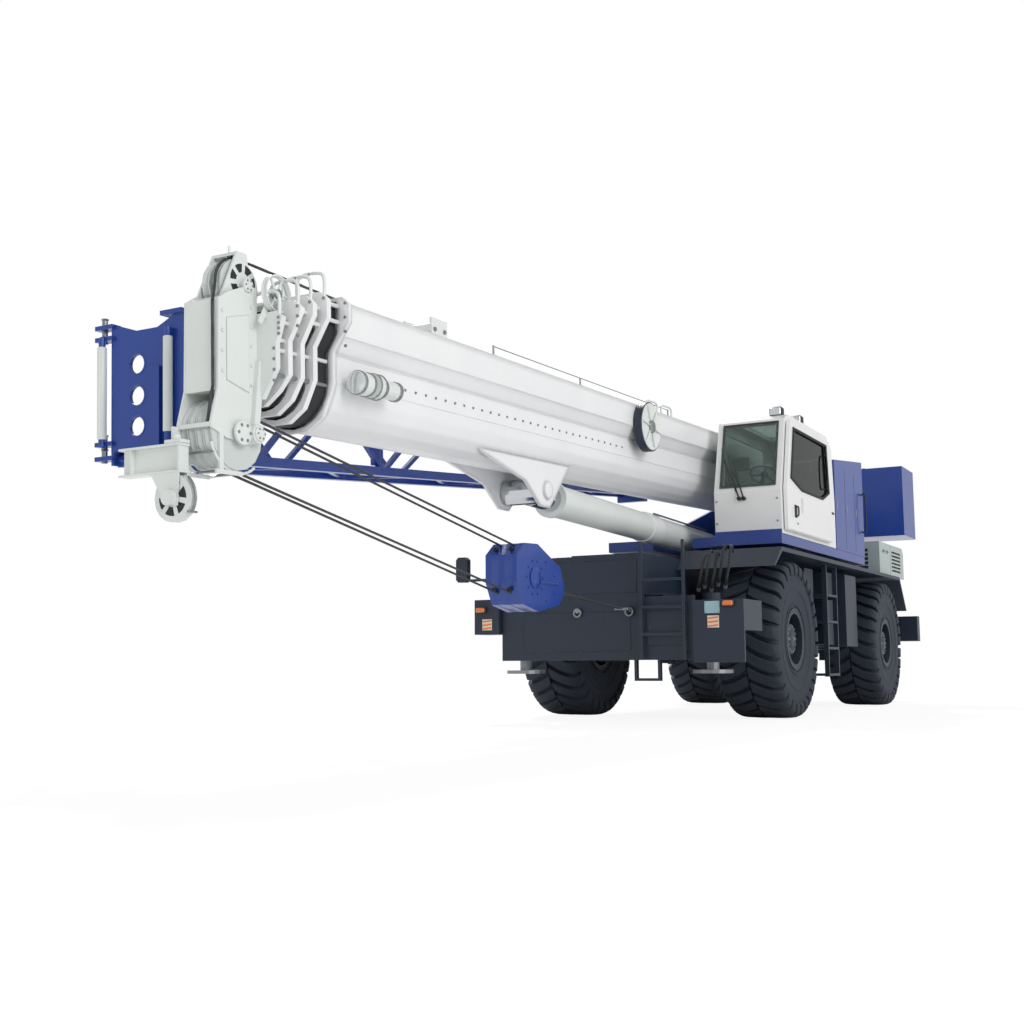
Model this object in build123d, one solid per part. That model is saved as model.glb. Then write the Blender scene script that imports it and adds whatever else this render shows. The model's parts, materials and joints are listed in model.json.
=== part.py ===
from build123d import *
import os
from math import atan2, cos, degrees, pi, radians, sin

# Two-axle rough-terrain mobile crane in its road position: boom in, level over the front.
# Millimetres. While modelling, X = 0 is the slewing axis, midway between the axles, +X is
# forwards, +Y the driver's left and Z = 0 the ground. On export everything moves back by
# MID_X, so that the origin is the middle of the machine's base.

# ---------------------------------------------------------------- driving dimensions
WHEELBASE = 4850.0
TREAD = 2565.0
TYRE_RADIUS = 940.0
TYRE_WIDTH = 750.0
OVERALL_WIDTH = TREAD + TYRE_WIDTH
FRONT_REACH = 11130.0  # foremost point, the folded single sheave on the boom head
REAR_REACH = -4955.0  # rearmost point, the rear outrigger floats
MID_X = (FRONT_REACH + REAR_REACH) / 2.0
HALF_WIDTH = OVERALL_WIDTH / 2.0

AXLE_X = WHEELBASE / 2.0
HUB_Z = TYRE_RADIUS
KINGPIN_Y = 860.0

# tyre carcass and lugs
TREAD_SIDES = 24
CARCASS_RADIUS = 886.0
SHOULDER = 85.0
BEAD_RADIUS = 353.0
DISH_RADIUS = 620.0
DISH_DEPTH = 45.0
LUG_WIDTH = 150.0
LUG_TOP = 934.6
LUG_ROOT = 800.0
LUG_LEAN = 23.0
LUG_SHOULDER = (60.0, 62.0)

# rim and hub
RIM_RADIUS = 350.0
RIM_INNER = 306.0
RIM_HALF = 330.0
RIM_SIDES = 20
DISC_THICK = 40.0
HUB_RADIUS = 190.0

# carrier
FRAME_HALF = 440.0
FRAME_Z = (1297.0, 1900.0)
FRAME_X = (-4850.0, 4300.0)
DECK_Z = (1960.0, 2010.0)
DECK_X = (-3400.0, 2960.0)
FLAP_DROP = 480.0
FLAP_RUN = 430.0
FRONT_FACE_X = 4380.0
MIRROR_X = 4850.0
HOOD_X = (-4600.0, -2830.0)
HOOD_HALF = 1480.0
HOOD_Z = (2040.0, 2560.0)
HOOD_SKIN = 30.0
ENGINE_X = (-4300.0, -2950.0)
RING_RADIUS = 800.0
RING_Z = (1900.0, 2100.0)

# outriggers: two lanes side by side at each end, one for each side's beam
LANE_GAP = 270.0
FRONT_LANES = 4050.0
REAR_LANES = -4595.0
BEAM_WIDTH = 200.0
BEAM_Z = (975.0, 1275.0)
BEAM_INNER_Y = -960.0
TUBE_WALL = 15.0
TUBE_PLAY = 6.0
TUBE_HALF = 980.0
JACK_Y = 1110.0
JACK_SLEEVE = (100.0, 84.0)
JACK_Z = (740.0, 1440.0)
JACK_ROD = 70.0
FLOAT_RADIUS = 225.0
FLOAT_Z = (550.0, 590.0)
JACK_BOXES = {  # per corner: inner edge of the face, inner edge of the box, bottom and top of the face
    (1, 1): (1085.0, 1200.0, 670.0, 1340.0),
    (1, -1): (1330.0, 1330.0, 1010.0, 1420.0),
    (-1, 1): (1290.0, 1290.0, 1000.0, 1420.0),
    (-1, -1): (1290.0, 1290.0, 1000.0, 1420.0),
}

# superstructure
SUPER_Z = (2110.0, 2240.0)
CHEEK_Y = 560.0
CHEEK_THICK = 40.0
FOOT_X = -1900.0
BOOM_LINE_Z = 3347.0  # height of the boom's middle line above the foot pin
BOOM_ANGLE = 2.18  # how far the stored boom points below level
FOOT_DROP = 100.0  # the foot pin is this far under the boom's middle line
FOOT_PIN = 90.0
COUNTERWEIGHT_X = (-4900.0, -3950.0)
COUNTERWEIGHT_Z = (2740.0, 3900.0)
TAIL_END = -4700.0
TAIL_Z = 2790.0
WINCH_AXES = ((-2780.0, 3010.0), (-3420.0, 3010.0))

# cab
CAB_Y = (590.0, 1450.0)
CAB_WALL = 45.0
DOOR_Y = (1462.0, 1507.0)
GLASS_THICK = 8.0

# boom: section k is narrower and shallower than the one that it slides in
SECTION_COUNT = 5
BASE_HALF = 430.0
BASE_TOP = 475.0
STEP_HALF = 48.0
STEP_TOP = 46.0
SLANT_Z = (215.0, 85.0)  # a slanted band on each side joins the wide top to the narrow lower part
SLANT_IN = 85.0
BELLY_Z = -130.0
BELLY_FOLDS = 5
BOOM_WALL = 12.0
SECTION_START = 420.0
COLLAR_DEPTH = 50.0
COLLAR_SLANT_Z = (300.0, 95.0)
COLLARS = (  # back face, upper half width, lower half width, top and depth below the middle line
    (11800.0, 525.0, 375.0, 492.0, 488.0),
    (12000.0, 480.0, 352.0, 494.0, 447.0),
    (12130.0, 455.0, 340.0, 440.0, 402.0),
    (12260.0, 445.0, 332.0, 384.0, 354.0),
    (12390.0, 380.0, 325.0, 285.0, 330.0),
)

# lift cylinder
LIFT_BASE = (880.0, 2255.0)
LIFT_PIN = (6250.0, 2390.0)
LIFT_BORE = 172.0
LIFT_ROD = 128.0
LIFT_EYE = 130.0

# how far things move
STEER_MAX = 25.0
LUFF_MAX = 80.0
TELESCOPE_TRAVEL = 8700.0
OUTRIGGER_TRAVEL = 1500.0
JACK_TRAVEL = 540.0
DOOR_TRAVEL = 760.0


# ---------------------------------------------------------------- small helpers
def block(x, y, z):
    """A box between two values on each axis."""
    size = (x[1] - x[0], y[1] - y[0], z[1] - z[0])
    middle = ((x[0] + x[1]) / 2.0, (y[0] + y[1]) / 2.0, (z[0] + z[1]) / 2.0)
    return Pos(*middle) * Box(*size)


def rod(start, end, radius):
    """A round bar from one point to another."""
    path = Vector(*end) - Vector(*start)
    plane = Plane(origin=start, z_dir=path)
    return extrude(plane * Circle(radius), path.length)


def square_bar(start, end, size):
    """A square tube, as a bar, from one point to another."""
    path = Vector(*end) - Vector(*start)
    side = Vector(0, 1, 0) if abs(path.normalized().Y) < 0.9 else Vector(0, 0, 1)
    plane = Plane(origin=start, x_dir=side.cross(path), z_dir=path)
    return extrude(plane * Rectangle(size, size), path.length)


def side_plate(points, y):
    """A plate with an outline in the X-Z plane, between two values of Y."""
    face = make_face(Plane.XZ * Polyline(*points, close=True))
    return Pos(0, y[0], 0) * extrude(face, y[1] - y[0], dir=(0, 1, 0))


def disc_y(x, y, z, radius):
    """A cylinder about a crosswise axis, between two values of Y."""
    return rod((x, y[0], z), (x, y[1], z), radius)


def join(pieces):
    """One shape from a list of shapes that touch or overlap."""
    whole = pieces[0]
    if len(pieces) > 1:
        whole = whole.fuse(*pieces[1:])
    return whole


def group(pieces):
    """Separate solids that share a node."""
    return Compound(children=list(pieces))


def both_sides(shape):
    """The shape and its mirror image on the other side of the machine."""
    return [shape, shape.mirror(Plane.XZ)]


def on_boom(shape):
    """From the boom's own level frame, with the foot pin at x = 0, to its stored place."""
    return Location((FOOT_X, 0, BOOM_LINE_Z), (0, BOOM_ANGLE, 0)) * shape


def boom_point(x, z):
    """Where a point of the boom's own frame is on the machine, as (X, Z)."""
    lean = radians(BOOM_ANGLE)
    return (FOOT_X + x * cos(lean) + z * sin(lean), BOOM_LINE_Z - x * sin(lean) + z * cos(lean))


def gon_y(x, y, z, radius, sides):
    """A regular prism about a crosswise axis, between two values of Y."""
    plane = Plane(origin=(x, y[0], z), x_dir=(1, 0, 0), z_dir=(0, 1, 0))
    return extrude(plane * RegularPolygon(radius, sides), y[1] - y[0])


def gon_z(x, y, z, radius, sides):
    """A regular prism about an upright axis, between two values of Z."""
    return extrude(Pos(x, y, z[0]) * RegularPolygon(radius, sides), z[1] - z[0], dir=(0, 0, 1))


# ---------------------------------------------------------------- wheels
def ring_gon(radius, thickness, start=0.0, sides=TREAD_SIDES):
    """A regular prism about Y, from y = start."""
    return gon_y(0, (start, start + thickness), 0, radius, sides)


def outer_edges(shape):
    """The edges round the face that lies furthest to the left."""
    return shape.faces().sort_by(Axis.Y)[-1].edges()


def tyre_lug():
    """One leaning bar of the left half of the tread, at the top of the tyre."""
    inner, outer = 14.0, TYRE_WIDTH / 2.0 - 2.0
    half = LUG_WIDTH / 2.0
    outline = [
        (-LUG_LEAN - half, inner),
        (-LUG_LEAN + half, inner),
        (LUG_LEAN + half, outer),
        (LUG_LEAN - half, outer),
    ]
    face = make_face(Plane.XY * Polyline(*outline, close=True))
    bar = Pos(0, 0, LUG_ROOT) * extrude(face, LUG_TOP - LUG_ROOT, dir=(0, 0, 1))
    slope = degrees(atan2(LUG_SHOULDER[1], LUG_SHOULDER[0]))
    trim = Pos(0, outer - LUG_SHOULDER[0], LUG_TOP) * Rot(-slope, 0, 0) * Pos(0, 0, 100.0) * Box(400.0, 400.0, 200.0)
    return bar - trim


def tyre():
    """An earthmover tyre about the Y axis: two half treads, turned half a pitch to each other."""
    half = TYRE_WIDTH / 2.0
    crown = chamfer(outer_edges(ring_gon(CARCASS_RADIUS, half)), SHOULDER)
    pitch = 360.0 / TREAD_SIDES
    lug = tyre_lug()
    left = crown.fuse(*[Rot(0, pitch * (i + 0.5), 0) * lug for i in range(TREAD_SIDES)])
    right = Rot(0, pitch / 2.0, 0) * left.mirror(Plane.XZ)
    whole = left.fuse(right)
    hub = chamfer(outer_edges(ring_gon(DISH_RADIUS, DISH_DEPTH + 10.0)), DISH_DEPTH - 5.0)
    dish = Pos(0, half + 10.0, 0) * hub.mirror(Plane.XZ)
    bore = ring_gon(BEAD_RADIUS, 2.0 * TYRE_WIDTH, -TYRE_WIDTH)
    return whole - dish - dish.mirror(Plane.XZ) - bore


def rim():
    """The rim with its disc and the planetary hub's drum, open side inwards (towards -Y)."""
    barrel = ring_gon(RIM_RADIUS, 2.0 * RIM_HALF, -RIM_HALF, RIM_SIDES)
    hollow = ring_gon(RIM_INNER, 2.0 * RIM_HALF + 2.0, -RIM_HALF - 1.0, RIM_SIDES)
    disc = ring_gon(RIM_INNER + 10.0, DISC_THICK, 20.0, RIM_SIDES)
    drum = gon_y(0, (-60.0, 270.0), 0, HUB_RADIUS, 14)
    cap = disc_y(0, (269.0, 300.0), 0, HUB_RADIUS * 0.45)
    return join([barrel - hollow, disc, drum, cap])


def knuckle():
    """The steering knuckle of a left wheel, about its kingpin at the frame's origin."""
    barrel = gon_z(0, 0, (-170.0, 170.0), 115.0, 14)
    spindle = gon_y(0, (0.0, 345.0), 0, 140.0, 14)
    arm = block((-420.0, -60.0), (-50.0, 40.0), (-150.0, -100.0))
    return join([barrel, spindle, arm])


def axle():
    """A steered drive axle about its own middle: bowl, tubes and the forks for the knuckles."""
    bowl = gon_y(0, (-115.0, 115.0), 0, 280.0, 20)
    tube = gon_y(0, (-640.0, 640.0), 0, 150.0, 14)
    nose = Pos(210.0, 0, 0) * Box(420.0, 200.0, 200.0)
    pieces = [bowl, tube, nose]
    for side in (1, -1):
        root = block((-105.0, 105.0), (600.0, 700.0), (-255.0, 255.0))
        upper = block((-90.0, 90.0), (690.0, KINGPIN_Y + 85.0), (180.0, 255.0))
        lower = block((-90.0, 90.0), (690.0, KINGPIN_Y + 85.0), (-255.0, -180.0))
        pin = rod((0, KINGPIN_Y, 254.0), (0, KINGPIN_Y, 272.0), 42.0)
        fork = join([root, upper, lower, pin])
        pieces.append(fork if side > 0 else fork.mirror(Plane.XZ))
    return join(pieces)


def corner(index):
    """X sign and Y sign of a wheel or outrigger: front left, front right, rear left, rear right."""
    return ((1, 1), (1, -1), (-1, 1), (-1, -1))[index]


CORNERS = ("fl", "fr", "rl", "rr")


def wheels():
    """Tyres, rims and knuckles at the four corners."""
    parts = {}
    master_tyre = tyre()
    master_rim = rim()
    master_knuckle = knuckle()
    for i, name in enumerate(CORNERS):
        sx, sy = corner(i)
        place = Pos(sx * AXLE_X, sy * TREAD / 2.0, HUB_Z)
        pin = Pos(sx * AXLE_X, sy * KINGPIN_Y, HUB_Z)
        turned = master_rim if sy > 0 else master_rim.mirror(Plane.XZ)
        carried = master_knuckle if sy > 0 else master_knuckle.mirror(Plane.XZ)
        if sx < 0:
            carried = carried.mirror(Plane.YZ)
        parts["tyre_" + name] = place * master_tyre
        parts["rim_" + name] = place * turned
        parts["knuckle_" + name] = pin * carried
    return parts


# ---------------------------------------------------------------- carrier
def lane_x(sx, sy):
    """The middle of one outrigger's lane: the left beams are in the outer lane at the rear."""
    middle = FRONT_LANES if sx > 0 else REAR_LANES
    return middle - sy * LANE_GAP / 2.0


def outrigger_tubes(sx):
    """The two crosswise tubes of one end, open at their ends."""
    pieces = []
    for sy in (1, -1):
        x = lane_x(sx, sy)
        outer = BEAM_WIDTH / 2.0 + TUBE_PLAY + TUBE_WALL
        inner = BEAM_WIDTH / 2.0 + TUBE_PLAY
        z = (BEAM_Z[0] - TUBE_PLAY, BEAM_Z[1] + TUBE_PLAY)
        skin = block((x - outer, x + outer), (-TUBE_HALF, TUBE_HALF), (z[0] - TUBE_WALL, z[1] + TUBE_WALL))
        bore = block((x - inner, x + inner), (-TUBE_HALF - 1, TUBE_HALF + 1), z)
        pieces.append(skin - bore)
    return pieces


def carrier_frame():
    """Main box frame with the outrigger tubes at both ends and the slewing ring's seat."""
    spine = block(FRAME_X, (-FRAME_HALF, FRAME_HALF), FRAME_Z)
    pieces = [spine]
    for sx, middle in ((1, FRONT_LANES), (-1, REAR_LANES)):
        pieces += outrigger_tubes(sx)
        low = BEAM_Z[0] - TUBE_PLAY - TUBE_WALL
        high = BEAM_Z[1] + TUBE_PLAY + TUBE_WALL
        half = LANE_GAP / 2.0 + BEAM_WIDTH / 2.0 + TUBE_PLAY + TUBE_WALL
        pieces.append(block((middle - 14.0, middle + 14.0), (-900.0, 900.0), (low, high)))
        for sy in (1, -1):
            rib = block((middle - half, middle + half), (sy * 700.0 - 12, sy * 700.0 + 12), (high - 1, high + 120))
            pieces.append(rib)
        pieces.append(block((middle - half, middle + half), (-712.0, 712.0), (high + 119, high + 139)))
    pieces.append(gon_z(0, 0, (RING_Z[0] - 1.0, RING_Z[1] - 20.0), RING_RADIUS, 36))
    for sx in (1, -1):
        for sy in (1, -1):
            x = sx * AXLE_X
            pieces.append(block((x - 330.0, x + 330.0), (sy * 400.0 - 35, sy * 400.0 + 35), (1110.0, FRAME_Z[0] + 1.0)))
    return join(pieces)


def front_body():
    """The nose with its tow frame, its ladder and the mirror on a forward arm."""
    face = FRONT_FACE_X
    low = block((face - 60.0, face), (-1320.0, 1068.0), (700.0, 1400.0))
    raised = block((face - 74.0, face), (-1100.0, 470.0), (1390.0, 1880.0))
    hoop = [block((face - 90.0, face - 30.0), (y, y + 30.0), (480.0, 730.0)) for y in (345.0, 625.0)]
    hoop.append(block((face - 90.0, face - 30.0), (345.0, 655.0), (470.0, 500.0)))
    return join([low, raised] + hoop + ladder() + mirror_arm())


def deck():
    """The flat deck with its slanted flaps: the mudguards of all four wheels."""
    half = HALF_WIDTH - 5.0
    outline = [
        (DECK_X[0] - FLAP_RUN, DECK_Z[0] - FLAP_DROP),
        (DECK_X[0] - FLAP_RUN - 30.0, DECK_Z[0] - FLAP_DROP),
        (DECK_X[0] - 20.0, DECK_Z[1]),
        (DECK_X[1] + 20.0, DECK_Z[1]),
        (DECK_X[1] + 330.0, DECK_Z[0] - 190.0),
        (DECK_X[1] + 300.0, DECK_Z[0] - 190.0),
        (DECK_X[1], DECK_Z[0]),
        (DECK_X[0], DECK_Z[0]),
    ]
    plate = side_plate(outline, (FRAME_HALF + 5.0, half))
    well = Pos(0, 0, 2000.0) * Cylinder(RING_RADIUS + 60.0, 400.0)
    return group([(piece - well) for piece in both_sides(plate)])


def engine_hood():
    """The louvred grey hood on the superstructure's tail, with its floor and grilles cut."""
    x, z = HOOD_X, HOOD_Z
    outer = block(x, (-HOOD_HALF, HOOD_HALF), z)
    rear_edge = outer.edges().filter_by(Axis.Y).group_by(Axis.Z)[-1].sort_by(Axis.X)[0]
    outer = chamfer(rear_edge, 90.0)
    skin = HOOD_SKIN
    inner = block(
        (x[0] + skin, x[1] - skin), (-HOOD_HALF + skin, HOOD_HALF - skin), (z[0] + skin, z[1] - skin - 60.0)
    )
    hood = outer - inner
    slots = []
    for i in range(6):
        level = z[0] + 90.0 + i * 60.0
        slots += both_sides(block((x[0] + 240.0, x[0] + 900.0), (HOOD_HALF - 70.0, HOOD_HALF + 50.0), (level, level + 30.0)))
    for i in range(5):
        level = z[0] + 100.0 + i * 68.0
        slots += both_sides(block((x[1] - 60.0, x[1] + 20.0), (560.0, 1300.0), (level, level + 34.0)))
    for slot in slots:
        hood = hood - slot
    return hood


def engine_block():
    """The engine with its gearbox and pumps as one plain mass, on the hood's floor."""
    return block(ENGINE_X, (-420.0, 420.0), (HOOD_Z[0] + HOOD_SKIN + 2.0, HOOD_Z[1] - 110.0))


def side_boxes():
    """Fuel and oil tanks between the wheels, with steps on the left one."""
    left = block((-470.0, 1120.0), (FRAME_HALF + 25.0, 1380.0), (900.0, 1890.0))
    left = left - block((180.0, 720.0), (1120.0, 1400.0), (860.0, 1900.0))
    steps = [block((190.0, 710.0), (1110.0, 1560.0), (z, z + 30.0)) for z in (480.0, 830.0, 1180.0, 1530.0)]
    rails = [block((x, x + 30.0), (1500.0, 1560.0), (470.0, 1940.0)) for x in (180.0, 690.0)]
    posts = [block((x, x + 30.0), (1100.0, 1510.0), (1500.0, 1530.0)) for x in (180.0, 690.0)]
    backs = [block((x, x + 30.0), (1100.0, 1140.0), (470.0, 1550.0)) for x in (180.0, 690.0)]
    right = block((-1120.0, 1120.0), (-1500.0, -FRAME_HALF - 25.0), (900.0, 1890.0))
    right = fillet(right.edges().filter_by(Axis.X).group_by(Axis.Y)[0], 90.0)
    battery = block((-1120.0, -500.0), (FRAME_HALF + 25.0, 1500.0), (880.0, 1890.0))
    return group([join([left, battery] + steps + rails + posts + backs), right])


def ladder():
    """The boarding ladder on the nose, as bars that stand off its face."""
    x = FRONT_FACE_X + 60.0
    rails = [block((x - 16.0, x + 16.0), (y - 16.0, y + 16.0), (700.0, 2010.0)) for y in (480.0, 980.0)]
    rungs = [block((x - 15.0, x + 15.0), (480.0, 980.0), (z - 14.0, z + 14.0)) for z in (980.0, 1280.0, 1580.0)]
    feet = [
        block((FRONT_FACE_X - 1.0, x), (y - 12.0, y + 12.0), (z - 12.0, z + 12.0))
        for y in (480.0, 980.0)
        for z in (780.0, 1340.0)
    ]
    return rails + rungs + feet


def mirror_arm():
    """The front mirror on its post and forward arm at the right corner."""
    x = FRONT_FACE_X - 30.0
    bar = 28.0
    y = (-1254.0, -1254.0 + bar)
    post = block((x - bar / 2.0, x + bar / 2.0), y, (1399.0, 1640.0))
    forward = block((x - bar / 2.0, MIRROR_X), y, (1640.0 - bar, 1640.0))
    across = block((MIRROR_X - bar, MIRROR_X), (-1530.0, y[1]), (1640.0 - bar, 1640.0))
    head = block((MIRROR_X - 45.0, MIRROR_X + 35.0), (-1650.0, -1500.0), (1605.0, 1895.0))
    return [post, forward, across, chamfer(head.edges().filter_by(Axis.X), 30.0)]


# ---------------------------------------------------------------- outriggers
def outrigger(sx, sy):
    """Beam and jack of one corner, as modelled for a left one at its lane."""
    x = lane_x(sx, sy)
    half = BEAM_WIDTH / 2.0
    face_y, box_y, low, top = JACK_BOXES[(sx, sy)]
    beam = block((x - half, x + half), (BEAM_INNER_Y, JACK_Y), BEAM_Z)
    sleeve = gon_z(x, JACK_Y, JACK_Z, JACK_SLEEVE[0], 16)
    bore = gon_z(x, JACK_Y, (JACK_Z[0] - 30.0, JACK_Z[1] - 30.0), JACK_SLEEVE[1], 16)
    face = FRONT_FACE_X + 70.0 if sx > 0 else x - 115.0
    far = (min(x - 80.0, face), max(x + 80.0, face))
    box = block(far, (box_y, HALF_WIDTH), (max(low, 1010.0), top))
    front = (face - 30.0, face) if sx > 0 else (face, face + 30.0)
    panel = block(front, (face_y, HALF_WIDTH), (low, top))
    bridge = block((x - 70.0, x + 70.0), (JACK_Y, box_y + 20.0), (BEAM_Z[1] + 15.0, BEAM_Z[1] + 55.0))
    whole = join([beam, sleeve, box, panel, bridge]) - bore
    stem = gon_z(x, JACK_Y, (FLOAT_Z[1] - 5.0, 1220.0), JACK_ROD, 14)
    foot = gon_z(x, JACK_Y, FLOAT_Z, FLOAT_RADIUS, 20)
    jack = join([stem, foot])
    if sy < 0:
        whole = whole.mirror(Plane.XZ)
        jack = jack.mirror(Plane.XZ)
    return whole, jack


def outriggers():
    """The four beams and the four jacks."""
    parts = {}
    for i, name in enumerate(CORNERS):
        sx, sy = corner(i)
        beam, jack = outrigger(sx, sy)
        parts["outrigger_beam_" + name] = beam
        parts["jack_" + name] = jack
    return parts


# ---------------------------------------------------------------- superstructure
def turntable():
    """Slewing base, the cheeks that hold the boom foot, the tail and its hangers for the hood."""
    base = block((-2350.0, 2250.0), (-900.0, CHEEK_Y), SUPER_Z)
    under_cab = block((-1950.0, 2300.0), (CHEEK_Y - 1.0, 1450.0), (2118.0, SUPER_Z[1]))
    lip = block((2273.0, 2300.0), CAB_Y, (SUPER_Z[1] - 1.0, 2295.0))
    ring = Pos(0, 0, RING_Z[1] - 2.0) * Cylinder(RING_RADIUS - 40.0, 28.0)
    well = block((650.0, 2400.0), (-270.0, 270.0), (SUPER_Z[0] - 10.0, SUPER_Z[1] + 10.0))
    pin_x, pin_z = boom_point(0.0, -FOOT_DROP)
    cheek = [
        (-2350.0, SUPER_Z[1] - 1.0),
        (1250.0, SUPER_Z[1] - 1.0),
        (1250.0, 2480.0),
        (650.0, 2560.0),
        (-900.0, 3000.0),
        (pin_x + 330.0, pin_z + 320.0),
        (pin_x - 330.0, pin_z + 320.0),
        (-2500.0, 2960.0),
    ]
    cheeks = both_sides(side_plate(cheek, (CHEEK_Y - CHEEK_THICK, CHEEK_Y)))
    pin = disc_y(pin_x, (-CHEEK_Y - 30.0, CHEEK_Y + 30.0), pin_z, FOOT_PIN)
    lug = [
        (LIFT_BASE[0] - 260.0, SUPER_Z[0] + 5.0),
        (LIFT_BASE[0] + 260.0, SUPER_Z[0] + 5.0),
        (LIFT_BASE[0] + 140.0, LIFT_BASE[1] + 150.0),
        (LIFT_BASE[0] - 140.0, LIFT_BASE[1] + 150.0),
    ]
    lift_lugs = both_sides(side_plate(lug, (225.0, 275.0)))
    lift_pin = disc_y(LIFT_BASE[0], (-290.0, 290.0), LIFT_BASE[1], 70.0)
    tail = block((TAIL_END, -2300.0), (-CHEEK_Y, CHEEK_Y), (2630.0, 2700.0))
    web = [
        (TAIL_END, 2640.0),
        (-2340.0, 2640.0),
        (-2340.0, 2240.0),
        (-2280.0, 2240.0),
        (-2280.0, 3100.0),
        (-2900.0, TAIL_Z),
        (TAIL_END, TAIL_Z),
    ]
    tail_webs = both_sides(side_plate(web, (CHEEK_Y - CHEEK_THICK, CHEEK_Y)))
    hangers = []
    for x in (-3700.0, -3000.0):
        hangers += both_sides(block((x - 40.0, x + 40.0), (CHEEK_Y - 60.0, CHEEK_Y), (HOOD_Z[1], 2635.0)))
    return join([base - well, under_cab, lip, ring, pin, lift_pin, tail] + cheeks + lift_lugs + tail_webs + hangers)


def side_cabinets():
    """The blue cabinets beside the boom: tall behind the cab, low on the right."""
    outline = [(-1980.0, 2244.0), (-330.0, 2244.0), (-330.0, 3520.0), (-1980.0, 3700.0)]
    tall = side_plate(outline, (1130.0, 1450.0))
    low = block((-1900.0, -290.0), (-1450.0, -1130.0), (2244.0, 2720.0))
    shelf = block((-1950.0, -290.0), (-1450.0, -901.0), (2190.0, 2245.0))
    return group([tall, join([chamfer(low.edges().filter_by(Axis.X).group_by(Axis.Z)[-1], 40.0), shelf])])


def counterweight():
    """The slab counterweight at the tail, with its lifting lugs."""
    x, z = COUNTERWEIGHT_X, COUNTERWEIGHT_Z
    half = HALF_WIDTH - 4.0
    slab = block(x, (-half, half), z)
    slab = chamfer(slab.edges().filter_by(Axis.Z).sort_by(Axis.X)[:2], 50.0)
    slot = block((x[0] - 10.0, x[1] + 10.0), (-CHEEK_Y - 10.0, CHEEK_Y + 10.0), (z[0] - 10.0, TAIL_Z))
    mouth = block((x[1] - 300.0, x[1] + 10.0), (-480.0, 480.0), (2700.0, 3300.0))
    lugs = [block((x[0] + 300.0, x[0] + 420.0), (y - 20.0, y + 20.0), (z[1] - 1.0, z[1] + 90.0)) for y in (-900.0, 900.0)]
    return join([slab - slot - mouth] + lugs)


def winches():
    """Main and auxiliary rope drums behind the boom foot, with their side frames."""
    pieces = []
    for x, z in WINCH_AXES:
        pieces.append(gon_y(x, (-330.0, 330.0), z, 190.0, 20))
        pieces += [gon_y(x, (y, y + 30.0), z, 265.0, 24) for y in (-350.0, 320.0)]
        pieces.append(gon_y(x, (-400.0, 400.0), z, 60.0, 10))
    outline = [(-3720.0, 2702.0), (-2450.0, 2702.0), (-2500.0, 3060.0), (-3650.0, 3060.0)]
    return join(pieces + both_sides(side_plate(outline, (380.0, 420.0))))


# ---------------------------------------------------------------- cab
CAB_OUTLINE = [
    (-285.0, 2246.0),
    (2270.0, 2246.0),
    (2290.0, 2790.0),
    (2040.0, 3720.0),
    (1900.0, 3790.0),
    (60.0, 3790.0),
    (-200.0, 3640.0),
    (-285.0, 2900.0),
]
DOOR_OPENING = [(330.0, 2330.0), (2010.0, 2330.0), (2010.0, 2820.0), (1830.0, 3640.0), (330.0, 3640.0)]
DOOR_OUTLINE = [(110.0, 2290.0), (2200.0, 2290.0), (2215.0, 2800.0), (1985.0, 3690.0), (110.0, 3690.0)]
DOOR_WINDOW = [
    (250.0, 2960.0),
    (560.0, 2850.0),
    (1560.0, 2850.0),
    (2030.0, 2960.0),
    (1860.0, 3610.0),
    (330.0, 3610.0),
]


def cab_cutters():
    """The window openings of the cab's walls: windscreen, roof, rear and right side."""
    screen = side_plate([(2200.0, 2850.0), (2400.0, 2850.0), (2150.0, 3690.0), (1900.0, 3660.0)], (660.0, 1385.0))
    rear = block((-400.0, -80.0), (700.0, 1340.0), (2950.0, 3520.0))
    right = side_plate([(250.0, 2830.0), (2030.0, 2830.0), (1860.0, 3610.0), (250.0, 3610.0)], (560.0, 660.0))
    roof = block((350.0, 1500.0), (740.0, 1300.0), (3700.0, 3850.0))
    return [screen, rear, right, roof]


def cab_shell():
    """Hollow cab walls, open at the door and the windows."""
    outer = side_plate(CAB_OUTLINE, CAB_Y)
    upright = outer.edges().filter_by(Axis.Y)
    outer = fillet(upright.group_by(Axis.Z)[-1], 60.0)
    w = CAB_WALL
    inner = side_plate(
        [
            (-285.0 + w, 2246.0 + w),
            (2270.0 - w, 2246.0 + w),
            (2290.0 - w, 2790.0),
            (2040.0 - w, 3720.0 - w),
            (1900.0 - w, 3790.0 - w),
            (60.0 + w / 2, 3790.0 - w),
            (-200.0 + w, 3640.0 - w / 2),
            (-285.0 + w, 2900.0),
        ],
        (CAB_Y[0] + w, CAB_Y[1] - w),
    )
    door = side_plate(DOOR_OPENING, (CAB_Y[1] - 2 * w, CAB_Y[1] + 10.0))
    shell = outer - inner - door
    for cutter in cab_cutters():
        shell = shell - cutter
    return shell


def cab_glass():
    """The fixed panes, each let into its opening."""
    lean = degrees(atan2(2290.0 - 2040.0, 3720.0 - 2790.0))
    length = 855.0
    screen = Pos(2160.0 + 20.0, 1022.0, 3255.0) * Rot(0, -lean, 0) * Box(GLASS_THICK, 722.0, length)
    rear = block((-262.0, -254.0), (702.0, 1338.0), (2952.0, 3518.0))
    right = side_plate([(253.0, 2833.0), (2026.0, 2833.0), (1857.0, 3607.0), (253.0, 3607.0)], (602.0, 610.0))
    roof = block((352.0, 1498.0), (742.0, 1298.0), (3766.0, 3774.0))
    return group([screen, rear, right, roof])


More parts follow.
